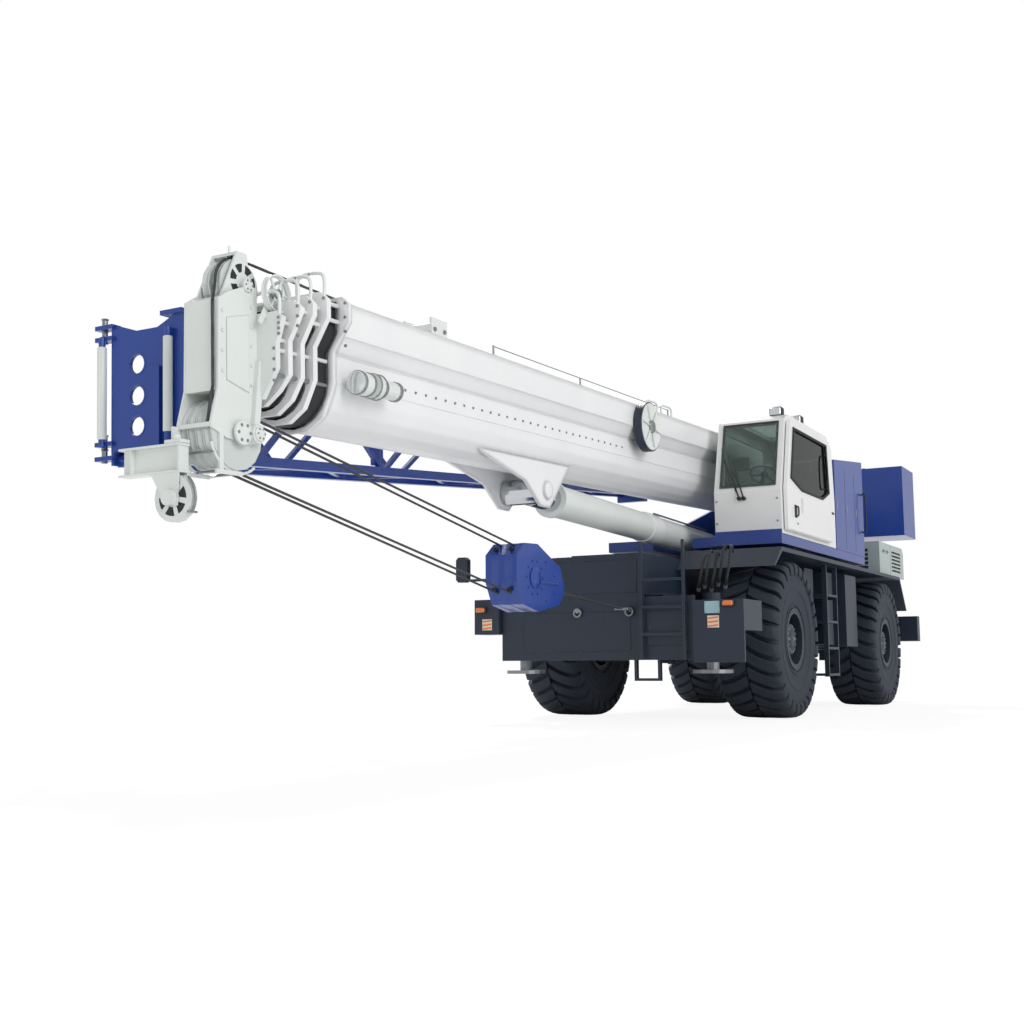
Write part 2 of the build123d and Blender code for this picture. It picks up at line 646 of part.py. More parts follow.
def cab_interior():
    """Seat, console and dashboard, as seen through the glass."""
    floor = CAB_WALL + 2246.0
    base = block((350.0, 900.0), (820.0, 1220.0), (floor + 2.0, 2560.0))
    cushion = block((330.0, 930.0), (760.0, 1290.0), (2560.0, 2700.0))
    seat = chamfer(cushion.edges().group_by(Axis.Z)[-1], 40.0)
    back = Pos(330.0, 1025.0, 3060.0) * Rot(0, -8, 0) * Box(130.0, 500.0, 780.0)
    outline = [
        (1650.0, floor + 2.0),
        (2150.0, floor + 2.0),
        (2150.0, 2700.0),
        (1800.0, 2880.0),
        (1650.0, 2880.0),
    ]
    dash = side_plate(outline, (680.0, 1360.0))
    column = square_bar((1720.0, 1020.0, 2860.0), (1540.0, 1020.0, 3020.0), 50.0)
    consoles = [block((420.0, 1250.0), y, (floor + 2.0, 2830.0)) for y in ((655.0, 745.0), (1305.0, 1395.0))]
    return group([join([base, seat, back]), join([dash, column])] + consoles)


def cab_door():
    """The sliding door with its window cut."""
    panel = side_plate(DOOR_OUTLINE, DOOR_Y)
    window = side_plate(DOOR_WINDOW, (DOOR_Y[0] - 10.0, DOOR_Y[1] + 10.0))
    handle = block((1560.0, 1600.0), (DOOR_Y[1] - 1.0, DOOR_Y[1] + 28.0), (2560.0, 2740.0))
    return join([panel - window, handle])


def cab_door_glass():
    """The door's pane, just inside the window's edge."""
    middle_x = sum(p[0] for p in DOOR_WINDOW) / len(DOOR_WINDOW)
    middle_z = sum(p[1] for p in DOOR_WINDOW) / len(DOOR_WINDOW)
    inset = 0.996
    shrunk = [(middle_x + (x - middle_x) * inset, middle_z + (z - middle_z) * inset) for x, z in DOOR_WINDOW]
    return side_plate(shrunk, (DOOR_Y[0] + 18.0, DOOR_Y[0] + 18.0 + GLASS_THICK))


# ---------------------------------------------------------------- boom
def along_boom(face, length):
    """A face across the boom, drawn out forwards."""
    return extrude(face, length, dir=(1, 0, 0))


def section_outline(k, inset=0.0):
    """Corners across section k, as (y, z): flat top, wide upper sides, a slant, narrow sides, a folded belly."""
    wide = BASE_HALF - STEP_HALF * k - inset
    narrow = wide - SLANT_IN
    right = [(wide, BASE_TOP - STEP_TOP * k - inset), (wide, SLANT_Z[0]), (narrow, SLANT_Z[1])]
    for i in range(BELLY_FOLDS + 1):
        turn = pi / 2.0 * i / BELLY_FOLDS
        right.append((narrow * cos(turn), BELLY_Z - narrow * sin(turn)))
    left = [(-y, z) for y, z in reversed(right[:-1])]
    return right + left


def across_boom(corners, x):
    """A face across the boom at x, from its corners as (y, z)."""
    plane = Plane(origin=(x, 0, 0), x_dir=(0, 1, 0), z_dir=(1, 0, 0))
    return make_face(plane * Polyline(*corners, close=True))


def boom_tube(k, start, end):
    """The hollow box of one boom section."""
    outer = along_boom(across_boom(section_outline(k), start), end - start)
    inner = along_boom(across_boom(section_outline(k, BOOM_WALL), start - 1.0), end - start + 2.0)
    return outer - inner


def collar(k):
    """The stiff ring round the mouth of section k, flared at its upper corners."""
    back, wide, narrow, top, bottom = COLLARS[k]
    round_ = narrow * 0.72
    right = [
        (wide - 60.0, top),
        (wide, top - 60.0),
        (wide, COLLAR_SLANT_Z[0]),
        (narrow, COLLAR_SLANT_Z[1]),
        (narrow, BELLY_Z - 20.0),
        (round_, -bottom + 95.0),
        (narrow * 0.32, -bottom),
    ]
    corners = right + [(-y, z) for y, z in reversed(right)]
    ring = along_boom(across_boom(corners, back), COLLAR_DEPTH)
    mouth = along_boom(across_boom(section_outline(k, BOOM_WALL), back - 1.0), COLLAR_DEPTH + 2.0)
    return ring - mouth


def narrow_half(k):
    """Half the width of section k below its slanted band."""
    return BASE_HALF - STEP_HALF * k - SLANT_IN


def boom_base():
    """Base section with its foot, the lift bracket and the collar."""
    half, top = BASE_HALF, BASE_TOP
    tube = boom_tube(0, SECTION_START, COLLARS[0][0] + 10.0)
    outline = [
        (-190.0, -290.0),
        (160.0, -360.0),
        (700.0, -300.0),
        (700.0, 300.0),
        (430.0, top - 4.0),
        (60.0, 160.0),
        (-190.0, 60.0),
    ]
    foot = both_sides(side_plate(outline, (narrow_half(0) - 10.0, half + 6.0)))
    bush = gon_y(0.0, (-narrow_half(0), narrow_half(0)), -FOOT_DROP, 165.0, 20)
    back = block((SECTION_START - 10.0, SECTION_START + 10.0), (-half + 30.0, half - 30.0), (SLANT_Z[0], top - 20.0))
    back_low = block(
        (SECTION_START - 10.0, SECTION_START + 10.0),
        (-narrow_half(0) + 20.0, narrow_half(0) - 20.0),
        (-250.0, SLANT_Z[0] + 1.0),
    )
    pin_x, pin_z = lift_pin_local()
    gusset = [
        (pin_x - 560.0, -330.0),
        (pin_x - 190.0, pin_z - 60.0),
        (pin_x - 60.0, pin_z - 175.0),
        (pin_x + 120.0, pin_z - 165.0),
        (pin_x + 420.0, pin_z + 60.0),
        (pin_x + 1500.0, -330.0),
    ]
    bracket = both_sides(side_plate(gusset, (215.0, 250.0)))
    caps = both_sides(gon_y(pin_x, (249.0, 280.0), pin_z, 90.0, 16))
    shell = join([tube, collar(0), back, back_low, bush] + foot + bracket)
    shell = shell - disc_y(0.0, (-half - 20.0, half + 20.0), -FOOT_DROP, FOOT_PIN + 1.0)
    inside = along_boom(across_boom(section_outline(0, BOOM_WALL), SECTION_START + 11.0), 12000.0)
    return on_boom((shell - inside).fuse(*caps))


def lift_pin_local():
    """The lift cylinder's upper pin in the boom's own frame."""
    lean = radians(BOOM_ANGLE)
    dx = LIFT_PIN[0] - FOOT_X
    dz = LIFT_PIN[1] - BOOM_LINE_Z
    return dx * cos(lean) - dz * sin(lean), dx * sin(lean) + dz * cos(lean)


def boom_section(k):
    """Telescoping section k, from 1 to 3, with its collar."""
    start = SECTION_START + 60.0 + 70.0 * k
    tube = boom_tube(k, start, COLLARS[k][0] + 10.0)
    return on_boom(join([tube, collar(k)]))


def boom_tip():
    """The innermost section, up to the head."""
    k = SECTION_COUNT - 1
    start = SECTION_START + 60.0 + 70.0 * k
    return on_boom(boom_tube(k, start, COLLARS[k][0] - 1.0))


HEAD_PLATE_Y = (140.0, 156.0)
HEAD_EAR_Y = (100.0, 116.0)
HEAD_BOSS = (12490.0, -590.0)
HEAD_OUTLINE = [
    (12439.0, 473.0),
    (12560.0, 460.0),
    (12740.0, 385.0),
    (12838.0, 322.0),
    (12846.0, -300.0),
    (12915.0, -545.0),
    (12915.0, -580.0),
    (12760.0, -640.0),
    (12500.0, -665.0),
    (12439.0, -120.0),
]
LOWER_SHEAVES = (12632.0, -596.0)
LOWER_SHEAVE_Y = (-105.0, -35.0, 35.0, 105.0)
LOWER_SHEAVE_RADIUS = 260.0
TOP_SHEAVES = (12541.0, 470.0)
TOP_SHEAVE_RADIUS = 200.0


def both_ways(y):
    """A range of Y on the left and its mirror image on the right."""
    return [y, (-y[1], -y[0])]


def square_strut(start, end, wide, thick):
    """A flat bar in the X-Z plane from one point to another, thick across the machine."""
    path = Vector(*end) - Vector(*start)
    plane = Plane(origin=start, x_dir=(0, 1, 0), z_dir=path)
    return extrude(plane * Rectangle(thick, wide), path.length)


def head_flange_corners():
    """Outline of the plate that closes the innermost section and carries the head."""
    wide, narrow, top, bottom = COLLARS[-1][1:]
    right = [(wide - 60.0, top), (wide, top - 40.0), (wide, 230.0), (narrow, 60.0), (narrow, -120.0), (narrow * 0.6, -bottom)]
    return right + [(-y, z) for y, z in reversed(right)]


def boom_head():
    """Flange, side plates, nose plate, sheave brackets and rope guards of the boom head."""
    inner, outer = HEAD_PLATE_Y
    plates = both_sides(side_plate(HEAD_OUTLINE, (inner, outer)))
    flange = along_boom(across_boom(head_flange_corners(), COLLARS[-1][0]), COLLAR_DEPTH)
    nose = block((12820.0, 12840.0), (-inner - 1.0, inner + 1.0), (-318.0, 322.0))
    recess = side_plate([(12825.0, -318.0), (12835.0, -300.0), (12640.0, -285.0), (12640.0, -300.0)], (-inner - 1.0, inner + 1.0))
    bar = block((12897.0, 12914.0), (-inner - 1.0, inner + 1.0), (-578.0, -546.0))
    roof = side_plate([(12750.0, 366.0), (12835.0, 318.0), (12835.0, 290.0), (12750.0, 336.0)], (-inner - 1.0, inner + 1.0))
    ears = []
    for y in both_ways(HEAD_EAR_Y):
        outline = [(12440.0, 420.0), (12770.0, 335.0), (12770.0, 358.0), (12600.0, 712.0), (12500.0, 712.0)]
        ears.append(side_plate(outline, y))
    tie = block((12500.0, 12600.0), (-HEAD_EAR_Y[1], HEAD_EAR_Y[1]), (690.0, 712.0))
    lower_axle = disc_y(LOWER_SHEAVES[0], (-outer - 30.0, outer + 30.0), LOWER_SHEAVES[1], 45.0)
    top_axle = gon_y(TOP_SHEAVES[0], (-outer, outer), TOP_SHEAVES[1], 33.0, 12)
    guards = []
    for y in both_ways((inner, outer)):
        guards.append(block((12790.0, 12830.0), y, (-870.0, -560.0)))
        guards.append(block((12600.0, 12862.0), y, (-892.0, -862.0)))
    boss = both_sides(gon_y(HEAD_BOSS[0], (inner, 215.0), HEAD_BOSS[1], 68.0, 14))
    struts = both_sides(square_strut((HEAD_BOSS[0], 170.0, HEAD_BOSS[1]), (12430.0, 170.0, -60.0), 60.0, 40.0))
    arm = block((12850.0, 12965.0), (-outer, -inner), (-684.0, -560.0))
    hinge_plate = block((12935.0, 13030.0), (-outer, -15.0), (-686.0, -661.0))
    hinge_cap = gon_z(12985.0, -85.0, (-662.0, -626.0), 30.0, 12)
    fixed = [flange, nose, recess, bar, roof, tie, lower_axle, top_axle, arm, hinge_plate, hinge_cap]
    return on_boom(join(plates + fixed + ears + guards + boss + struts))


def sheave(x, y, z, radius, width, sides=16):
    """A rope wheel about a crosswise axis: two flanges and a vee groove between them."""
    half = width / 2.0
    flange = chamfer(outer_edges(gon_y(0, (-half, 0), 0, radius, sides)), half * 0.65)
    wheel = flange.fuse(flange.mirror(Plane.XZ)) - gon_y(0, (-half - 1.0, half + 1.0), 0, 51.0, 12)
    return Pos(x, y, z) * wheel


def head_sheaves():
    """Four hoist sheaves under the nose and two on top."""
    pieces = [sheave(LOWER_SHEAVES[0], y, LOWER_SHEAVES[1], LOWER_SHEAVE_RADIUS, 66.0) for y in LOWER_SHEAVE_Y]
    pieces += [sheave(TOP_SHEAVES[0], y, TOP_SHEAVES[1], TOP_SHEAVE_RADIUS, 66.0) for y in (-50.0, 50.0)]
    return group([on_boom(piece) for piece in pieces])


AUX_BEAM = (12990.0, (-560.0, -20.0), (-873.0, -704.0))
AUX_WHEEL = (-90.0, -1058.0)
AUX_HUB = 149.58


def aux_sheave():
    """The single-part top: a short beam folded to the right with its one sheave hung under it."""
    x, y, z = AUX_BEAM
    web = block((x - 10.0, x + 10.0), (y[0], y[1]), z)
    flanges = [block((x - 52.0, x + 52.0), (y[0] - 12.0, y[1] + 8.0), (h, h + 16.0)) for h in (z[0] - 15.0, z[1] - 1.0)]
    ends = [block((x - 48.0, x + 48.0), (h, h + 14.0), z) for h in (y[1] - 14.0, y[0] + 90.0)]
    hub_y, hub_z = AUX_WHEEL
    cheek = [(hub_y - 190.0, z[0]), (hub_y + 70.0, z[0]), (hub_y + 55.0, hub_z - 55.0), (hub_y - 45.0, hub_z - 55.0)]
    forks = [along_boom(across_boom(cheek, front), 14.0) for front in (x - 50.0, x + 36.0)]
    wheel = Pos(x, hub_y, hub_z) * Rot(0, 0, 90) * sheave(0.0, 0.0, 0.0, 165.0, 60.0)
    hub = along_boom(Plane(origin=(x - 62.0, hub_y, hub_z), x_dir=(0, 1, 0), z_dir=(1, 0, 0)) * RegularPolygon(56.0, 12), AUX_HUB)
    return join([web] + flanges + ends + forks + [wheel, hub])


JIB_PLATE_X = 12480.0
JIB_Y = (-480.0, -1210.0)
JIB_Z = (-600.0, 387.0)
JIB_TIP_X = 3600.0
JIB_BAYS = 10
JIB_CHORDS = (  # name, Y and Z of the chord at the fork frame and at the tip
    ("low_in", (-592.0, -640.0), (-670.0, -250.0)),
    ("low_out", (-1150.0, -960.0), (-670.0, -250.0)),
    ("high_in", (-592.0, -640.0), (250.0, 10.0)),
    ("high_out", (-1150.0, -960.0), (250.0, 10.0)),
)
JIB_LACED = (("low_in", "low_out"), ("low_out", "high_out"), ("high_out", "high_in"), ("high_in", "low_in"))


def stowed_jib():
    """The lattice jib folded back along the right side of the boom, with its fork frame."""
    y_in, y_out = JIB_Y
    z_low, z_high = JIB_Z
    x = JIB_PLATE_X
    outline = [
        (y_out, z_low), (y_in, z_low), (y_in, z_high), (y_in - 90.0, z_high - 10.0), (y_in - 260.0, z_high - 85.0),
        (y_in - 470.0, z_high - 85.0), (y_out + 60.0, z_high - 20.0), (y_out, z_high),
    ]
    plate = along_boom(across_boom(outline, x), 25.0)
    for z in (47.0, -193.0, -423.0):
        plate = plate - along_boom(Plane(origin=(x - 5.0, -945.0, z), x_dir=(0, 1, 0), z_dir=(1, 0, 0)) * RegularPolygon(72.0, 16), 40.0)
    fold = block((x + 24.0, x + 60.0), (-790.0, -690.0), (z_low, 0.0))
    edges = [block((x - 160.0, x + 24.0), (h, h + 25.0), (z_low - 100.0, z_high - 20.0)) for h in (y_out, y_in - 25.0)]
    ears = []
    for z in (z_high - 40.0, z_high - 130.0, z_low - 60.0, z_low + 50.0):
        ears.append(block((x - 40.0, x + 50.0), (y_out - 150.0, y_out + 30.0), (z, z + 34.0)))
    ears += [block((x - 40.0, x + 50.0), (y_in - 210.0, y_in), (z, z + 34.0)) for z in (z_high - 10.0, z_low - 60.0)]
    bars = [gon_z(x + 60.0, y, (z_low + 40.0, z_high - 110.0), 26.0, 10) for y in (y_out - 62.0, y_in - 120.0)]
    holds = [block((x + 20.0, x + 60.0), (y_in - 135.0, y_in - 105.0), (z, z + 40.0)) for z in (z_low + 60.0, z_high - 170.0)]
    holds += [block((x + 40.0, x + 60.0), (y_out - 80.0, y_out - 45.0), (z, z + 34.0)) for z in (z_low + 50.0, z_high - 130.0)]
    pieces = [plate, fold] + edges + ears + bars + holds
    chords = {
        name: ((x - 20.0, jib_y[0], jib_z[0]), (JIB_TIP_X, jib_y[1], jib_z[1]))
        for name, jib_y, jib_z in JIB_CHORDS
    }
    for start, end in chords.values():
        pieces.append(square_bar(start, end, 80.0))

    def along(name, t):
        a, b = chords[name]
        return tuple(a[i] + (b[i] - a[i]) * t for i in range(3))

    for one, other in JIB_LACED:
        for i in range(JIB_BAYS):
            near, far = (one, other) if i % 2 == 0 else (other, one)
            pieces.append(square_bar(along(near, i / JIB_BAYS), along(far, (i + 1) / JIB_BAYS), 42.0))
    pieces.append(block((JIB_TIP_X - 60.0, JIB_TIP_X + 40.0), (-1000.0, -600.0), (-370.0, 50.0)))
    hangers = [block((h, h + 60.0), (-640.0, -BASE_HALF), (z, z + 60.0)) for h, z in ((6200.0, 225.0), (9800.0, 225.0))]
    struts = [block((h, h + 60.0), (-700.0, -600.0), (-480.0, 285.0)) for h in (6200.0, 9800.0)]
    return on_boom(join(pieces + hangers + struts))


LAMP_PLACE = (11715.0, 485.0, -130.0)
LAMP_DRUMS = ((-160.0, 150.0, 88.0), (-290.0, 90.0, 95.0), (-540.0, 251.0, 72.0))  # start, length, radius


def lamp_drum(x, y, z, radius, length):
    """A short drum along the boom, from x forwards."""
    return along_boom(Plane(origin=(x, y, z), x_dir=(0, 1, 0), z_dir=(1, 0, 0)) * RegularPolygon(radius, 16), length)


def boom_fittings():
    """The hose reel, the two lamps behind the collar and the rope guide on the base section."""
    reel = gon_y(6080.0, (442.0, 520.0), 230.0, 280.0, 28)
    reel_arm = gon_y(6080.0, (430.0, 450.0), 230.0, 120.0, 12)
    x, y, z = LAMP_PLACE
    drums = [lamp_drum(x + start, y, z, radius, length) for start, length, radius in LAMP_DRUMS]
    joint = lamp_drum(x - 201.0, y, z, 50.0, 42.0)
    stay = block((x - 130.0, x - 60.0), (narrow_half(0), y), (z - 30.0, z + 30.0))
    low = block((9800.0, 10150.0), (-150.0, 150.0), (BASE_TOP, 500.0))
    rollers = [gon_y(h, (-135.0, 135.0), 640.0, 60.0, 14) for h in (9900.0, 10060.0)]
    cheeks = both_sides(block((9850.0, 10110.0), (130.0, 150.0), (480.0, 740.0)))
    guide = join([low] + rollers + cheeks)
    return group([on_boom(piece) for piece in (join([reel, reel_arm]), guide, join(drums + [joint, stay]))])


# ---------------------------------------------------------------- hook block and falls
BLOCK_SHEAVES = (6370.0, 0.0, 1510.0)
FALLS = (  # height on the block and on the head from the sheaves' middles, and what is left off each end
    (280.0, 200.0, 0.0, 160.0),
    (-200.0, -240.0, 125.0, 62.0),
)


HOOK_BOWL = (-815.0, -40.0, 108.0, 48.0)  # from the block's sheaves, then the outer and inner radius
HOOK_TURN = range(122, 419, 24)  # the bowl is open on top, between its tip and its shank


def hook_bowl(x, z):
    """The hook's open ring, from its tip round the bowl to the shank."""
    outer = [(x + HOOK_BOWL[2] * cos(radians(turn)), z + HOOK_BOWL[2] * sin(radians(turn))) for turn in HOOK_TURN]
    inner = [(x + HOOK_BOWL[3] * cos(radians(turn)), z + HOOK_BOWL[3] * sin(radians(turn))) for turn in HOOK_TURN]
    return outer + inner[::-1]


def hook_block():
    """Cheeks, weights and sheaves of the hook block, lying back along its falls."""
    x, y, z = BLOCK_SHEAVES
    cheek = [
        (x - 640.0, z - 130.0), (x - 520.0, z - 250.0), (x - 60.0, z - 330.0), (x + 250.0, z - 270.0),
        (x + 370.0, z - 60.0), (x + 370.0, z + 210.0), (x + 210.0, z + 330.0), (x - 60.0, z + 340.0),
        (x - 560.0, z + 130.0),
    ]
    half = 175.0
    plates = [side_plate(cheek, (y + f, y + f + 60.0)) for f in (-half, half - 60.0, -30.0)]
    wheels_ = [sheave(x, y + f, z, 235.0, 76.0) for f in (-72.0, 72.0)]
    axle_ = gon_y(x, (y - half + 1.0, y + half - 1.0), z, 55.0, 12)
    shank = rod((x - 735.0, y, z - 40.0), (x - 480.0, y, z - 40.0), 52.0)
    hook = side_plate(hook_bowl(x + HOOK_BOWL[0], z + HOOK_BOWL[1]), (y - 36.0, y + 36.0))
    return join(plates + wheels_ + [axle_, shank, hook])


def hoist_falls():
    """The taut rope falls between the head sheaves and the hook block's sheaves."""
    head_x, head_z = boom_point(*LOWER_SHEAVES)
    x, y, z = BLOCK_SHEAVES
    falls = []
    for head_y, block_y in ((LOWER_SHEAVE_Y[1], y - 72.0), (LOWER_SHEAVE_Y[2], y + 72.0)):
        for near, far, near_trim, far_trim in FALLS:
            start = Vector(x + 60.0, block_y, z + near)
            path = Vector(head_x - 60.0, head_y, head_z + far) - start
            start = start + path.normalized() * near_trim
            plane = Plane(origin=start, z_dir=path)
            falls.append(extrude(plane * RegularPolygon(11.0, 6), path.length - near_trim - far_trim))
    return group(falls)


# ---------------------------------------------------------------- lift cylinder
def lift_parts():
    """Barrel and rod of the lift cylinder, between the turntable and the boom."""
    dx, dz = LIFT_PIN[0] - LIFT_BASE[0], LIFT_PIN[1] - LIFT_BASE[1]
    length = (dx * dx + dz * dz) ** 0.5
    tilt = degrees(atan2(dz, dx))
    place = Location((LIFT_BASE[0], 0, LIFT_BASE[1]), (0, -tilt, 0))
    eye = gon_y(0, (-215.0, 215.0), 0, LIFT_EYE, 20)
    tube = rod((110.0, 0, 0), (length - 610.0, 0, 0), LIFT_BORE)
    gland = rod((length - 611.0, 0, 0), (length - 560.0, 0, 0), LIFT_BORE + 20.0)
    barrel = join([eye, tube, gland])
    barrel = barrel - disc_y(0, (-230.0, 230.0), 0, 71.0)
    barrel = barrel - rod((700.0, 0, 0), (length, 0, 0), LIFT_ROD + 1.0)
    shaft = rod((720.0, 0, 0), (length - 120.0, 0, 0), LIFT_ROD)
    rod_eye = gon_y(length, (-205.0, 205.0), 0, LIFT_EYE, 20)
    piston = join([shaft, rod_eye]) - disc_y(length, (-230.0, 230.0), 0, 71.0)
    return place * barrel, place * piston


# ---------------------------------------------------------------- assembly
def build():
    """All the nodes of the crane, by name."""
    parts = {
        "carrier_frame": carrier_frame(),
        "front_body": front_body(),
        "deck": deck(),
        "engine_hood": engine_hood(),
        "engine_block": engine_block(),
        "side_boxes": side_boxes(),
        "axle_front": Pos(AXLE_X, 0, HUB_Z) * axle().mirror(Plane.YZ),
        "axle_rear": Pos(-AXLE_X, 0, HUB_Z) * axle(),
        "turntable": turntable(),
        "side_cabinets": side_cabinets(),
        "counterweight": counterweight(),
        "winches": winches(),
        "cab_shell": cab_shell(),
        "cab_glass": cab_glass(),
        "cab_interior": cab_interior(),
        "cab_door": cab_door(),
        "cab_door_glass": cab_door_glass(),
        "boom_base": boom_base(),
        "boom_section_2": boom_section(1),
        "boom_section_3": boom_section(2),
        "boom_section_4": boom_section(3),
        "boom_tip": boom_tip(),
        "boom_head": boom_head(),
        "head_sheaves": head_sheaves(),
        "aux_sheave": on_boom(aux_sheave()),
        "stowed_jib": stowed_jib(),
        "boom_fittings": boom_fittings(),
        "hook_block": hook_block(),
        "hoist_falls": hoist_falls(),
    }
    parts["lift_barrel"], parts["lift_rod"] = lift_parts()
    parts.update(wheels())
    parts.update(outriggers())
    return parts


def main():
    """Writes one STEP file for each node."""
    os.makedirs("parts", exist_ok=True)
    for name, shape in build().items():
        export_step(Pos(-MID_X, 0, 0) * shape, "parts/" + name + ".step")
        print(name, len(shape.solids()), "solids", round(shape.volume / 1e9, 3), "m3")


if __name__ == "__main__":
    main()
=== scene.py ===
"""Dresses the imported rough-terrain crane: finishes, tyres, fittings, ropes, cab, studio and camera.

All places are worked out in metres with X = 0 on the slewing axis. Making a piece moves it back by MID, so
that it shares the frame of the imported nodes.
"""
from __future__ import annotations

import json
import logging
import math
from collections.abc import Callable, Iterable, Sequence
from dataclasses import dataclass, field
from enum import Enum
from functools import cache

import bpy
import numpy as np
from mathutils import Matrix, Vector

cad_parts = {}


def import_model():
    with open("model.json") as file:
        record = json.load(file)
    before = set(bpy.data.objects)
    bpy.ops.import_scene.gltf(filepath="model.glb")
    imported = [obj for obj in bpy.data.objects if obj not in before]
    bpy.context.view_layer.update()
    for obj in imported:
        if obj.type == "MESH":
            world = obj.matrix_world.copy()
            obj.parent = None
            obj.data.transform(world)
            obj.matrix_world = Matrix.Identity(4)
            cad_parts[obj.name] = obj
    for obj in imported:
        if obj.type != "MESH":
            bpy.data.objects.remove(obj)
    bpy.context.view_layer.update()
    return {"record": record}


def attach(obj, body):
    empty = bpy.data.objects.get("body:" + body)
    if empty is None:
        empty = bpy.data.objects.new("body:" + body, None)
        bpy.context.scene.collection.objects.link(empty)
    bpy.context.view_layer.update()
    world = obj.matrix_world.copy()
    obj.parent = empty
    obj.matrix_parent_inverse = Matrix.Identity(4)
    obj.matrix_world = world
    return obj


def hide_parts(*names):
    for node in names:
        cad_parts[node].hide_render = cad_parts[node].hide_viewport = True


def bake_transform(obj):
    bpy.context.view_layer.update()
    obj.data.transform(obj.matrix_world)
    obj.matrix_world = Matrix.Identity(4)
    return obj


LOG = logging.getLogger("crane")
Triple = Sequence[float]  # x, y and z, or red, green and blue
Rows = Sequence[Sequence[float]]  # a row of numbers for each corner, place or station
Array = np.ndarray
Node = bpy.types.Node
Tree = bpy.types.NodeTree
Socket = bpy.types.NodeSocket
MID = 3.0875  # the slewing axis lies this far behind the middle of the length
BOOM_FOOT = (-1.9, 3.347)  # X and Z of the boom's foot
BOOM_LEAN = math.radians(2.18)  # how far the stored boom dips towards its head
BOOM_HALF = 0.43  # half the base section's width
BOOM_TOP = 0.475  # its top above the boom's axis
KNEE_HIGH, KNEE_LOW = 0.215, 0.085  # upper and lower edge of the slanted band on a section's side
BELLY_Z = -0.13  # the height about which a section's belly is round
WHEEL_X = 2.425  # half the wheelbase
WHEEL_Y = 1.2825  # half the track
HUB_Z = 0.94  # the hubs' height
HOIST_ROPE = 0.011  # the hoist rope's radius
ROPE_Y = 0.10  # the hoist rope's distance from the boom's middle
CORNERS = {"fl": (1, 1), "fr": (1, -1), "rl": (-1, 1), "rr": (-1, -1)}
X_AXIS = np.array([1.0, 0.0, 0.0])
Y_AXIS = np.array([0.0, 1.0, 0.0])
Z_AXIS = np.array([0.0, 0.0, 1.0])


@dataclass
class Solid:
    """A closed shape as points, four-sided faces and end caps."""

    points: Array
    quads: Array
    caps: list[Array] = field(default_factory=list)

    def volume(self) -> float:
        """Signed volume: a sixth of the sum of each fan triangle's triple product.

        Returns:
            Cubic metres, below zero where the faces look inwards.
        """
        p = self.points
        q = self.quads
        total = np.einsum("ij,ij->", p[q[:, 0]], np.cross(p[q[:, 1]], p[q[:, 2]]))
        total += np.einsum("ij,ij->", p[q[:, 0]], np.cross(p[q[:, 2]], p[q[:, 3]]))
        for cap in self.caps:
            first, rest = p[cap[0]], p[cap[1:]]
            total += float(np.sum(np.cross(rest[:-1], rest[1:]) @ first))
        return float(total) / 6.0

    def outward(self) -> Solid:
        """The same solid with its faces turned outwards."""
        turned = Solid(self.points, self.quads[:, ::-1], [cap[::-1] for cap in self.caps])
        return turned if self.volume() < 0.0 else self

    def moved(self, offset: Triple) -> Solid:
        """A copy shifted by an offset."""
        return Solid(self.points + np.asarray(offset), self.quads, self.caps)

    def mapped(self, change: Callable[[Array], Array]) -> Solid:
        """A copy whose points go through a function, turned outwards again."""
        return Solid(change(self.points), self.quads, self.caps).outward()

    def mirrored(self) -> Solid:
        """The mirror image on the other side of the machine: Y changes sign."""
        return self.mapped(lambda p: p * np.array([1.0, -1.0, 1.0]))


def union(solids: Iterable[Solid]) -> Solid:
    """One list of points and faces out of several.

    Args:
        solids: the shapes to put side by side; they aren't merged.

    Returns:
        A solid whose face indices are shifted by the points before them.
    """
    points, quads, caps, start = [], [], [], 0
    for solid in solids:
        points.append(solid.points)
        quads.append(solid.quads + start)
        caps += [cap + start for cap in solid.caps]
        start += len(solid.points)
    return Solid(np.concatenate(points), np.concatenate(quads), caps)


def copies(solid: Solid, offsets: Array) -> Solid:
    """The solid repeated: points p + o for every offset o, and indices shifted by the copy's number.

    Args:
        solid: the shape to repeat.
        offsets: a row of x, y and z for each copy.

    Returns:
        One solid that holds all the copies.
    """
    offsets = np.atleast_2d(np.asarray(offsets, float))
    count, size = len(offsets), len(solid.points)
    points = (solid.points[None] + offsets[:, None]).reshape(-1, 3)
    shift = np.arange(count) * size
    quads = (solid.quads[None] + shift[:, None, None]).reshape(-1, 4)
    caps = [cap + s for cap in solid.caps for s in shift]
    return Solid(points, quads, caps)


def skin(rings: Array, loop: bool = False) -> Solid:
    """A closed profile carried along a path: ring i joined to ring i + 1 by quads, with flat caps.

    Args:
        rings: points (stations, points round the profile, 3).
        loop: the last ring joins the first, and there are no caps.

    Returns:
        The outward-facing solid.
    """
    n, m, _ = rings.shape
    index = np.arange(n * m).reshape(n, m)
    here = index if loop else index[:-1]
    after = np.roll(index, -1, 0) if loop else index[1:]
    quads = np.stack([here, np.roll(here, -1, 1), np.roll(after, -1, 1), after], -1).reshape(-1, 4)
    caps = [] if loop else [index[0][::-1], index[-1]]
    return Solid(rings.reshape(-1, 3), quads, caps).outward()


def axes_across(direction: Triple) -> tuple[Array, Array, Array]:
    """A direction as a unit vector, and two unit vectors across it by cross products.

    Args:
        direction: any vector but zero.

    Returns:
        The unit direction and the two unit vectors across it.
    """
    d = np.asarray(direction, float)
    d = d / np.linalg.norm(d)
    side = Y_AXIS if abs(d[1]) < 0.9 else Z_AXIS
    u = np.cross(side, d)
    u /= np.linalg.norm(u)
    return d, u, np.cross(d, u)


def full_turn(count: int, first: float = 0.0) -> Array:
    """Angles that share a full turn evenly, from the first one on."""
    return np.linspace(first, 2.0 * math.pi + first, count, endpoint=False)


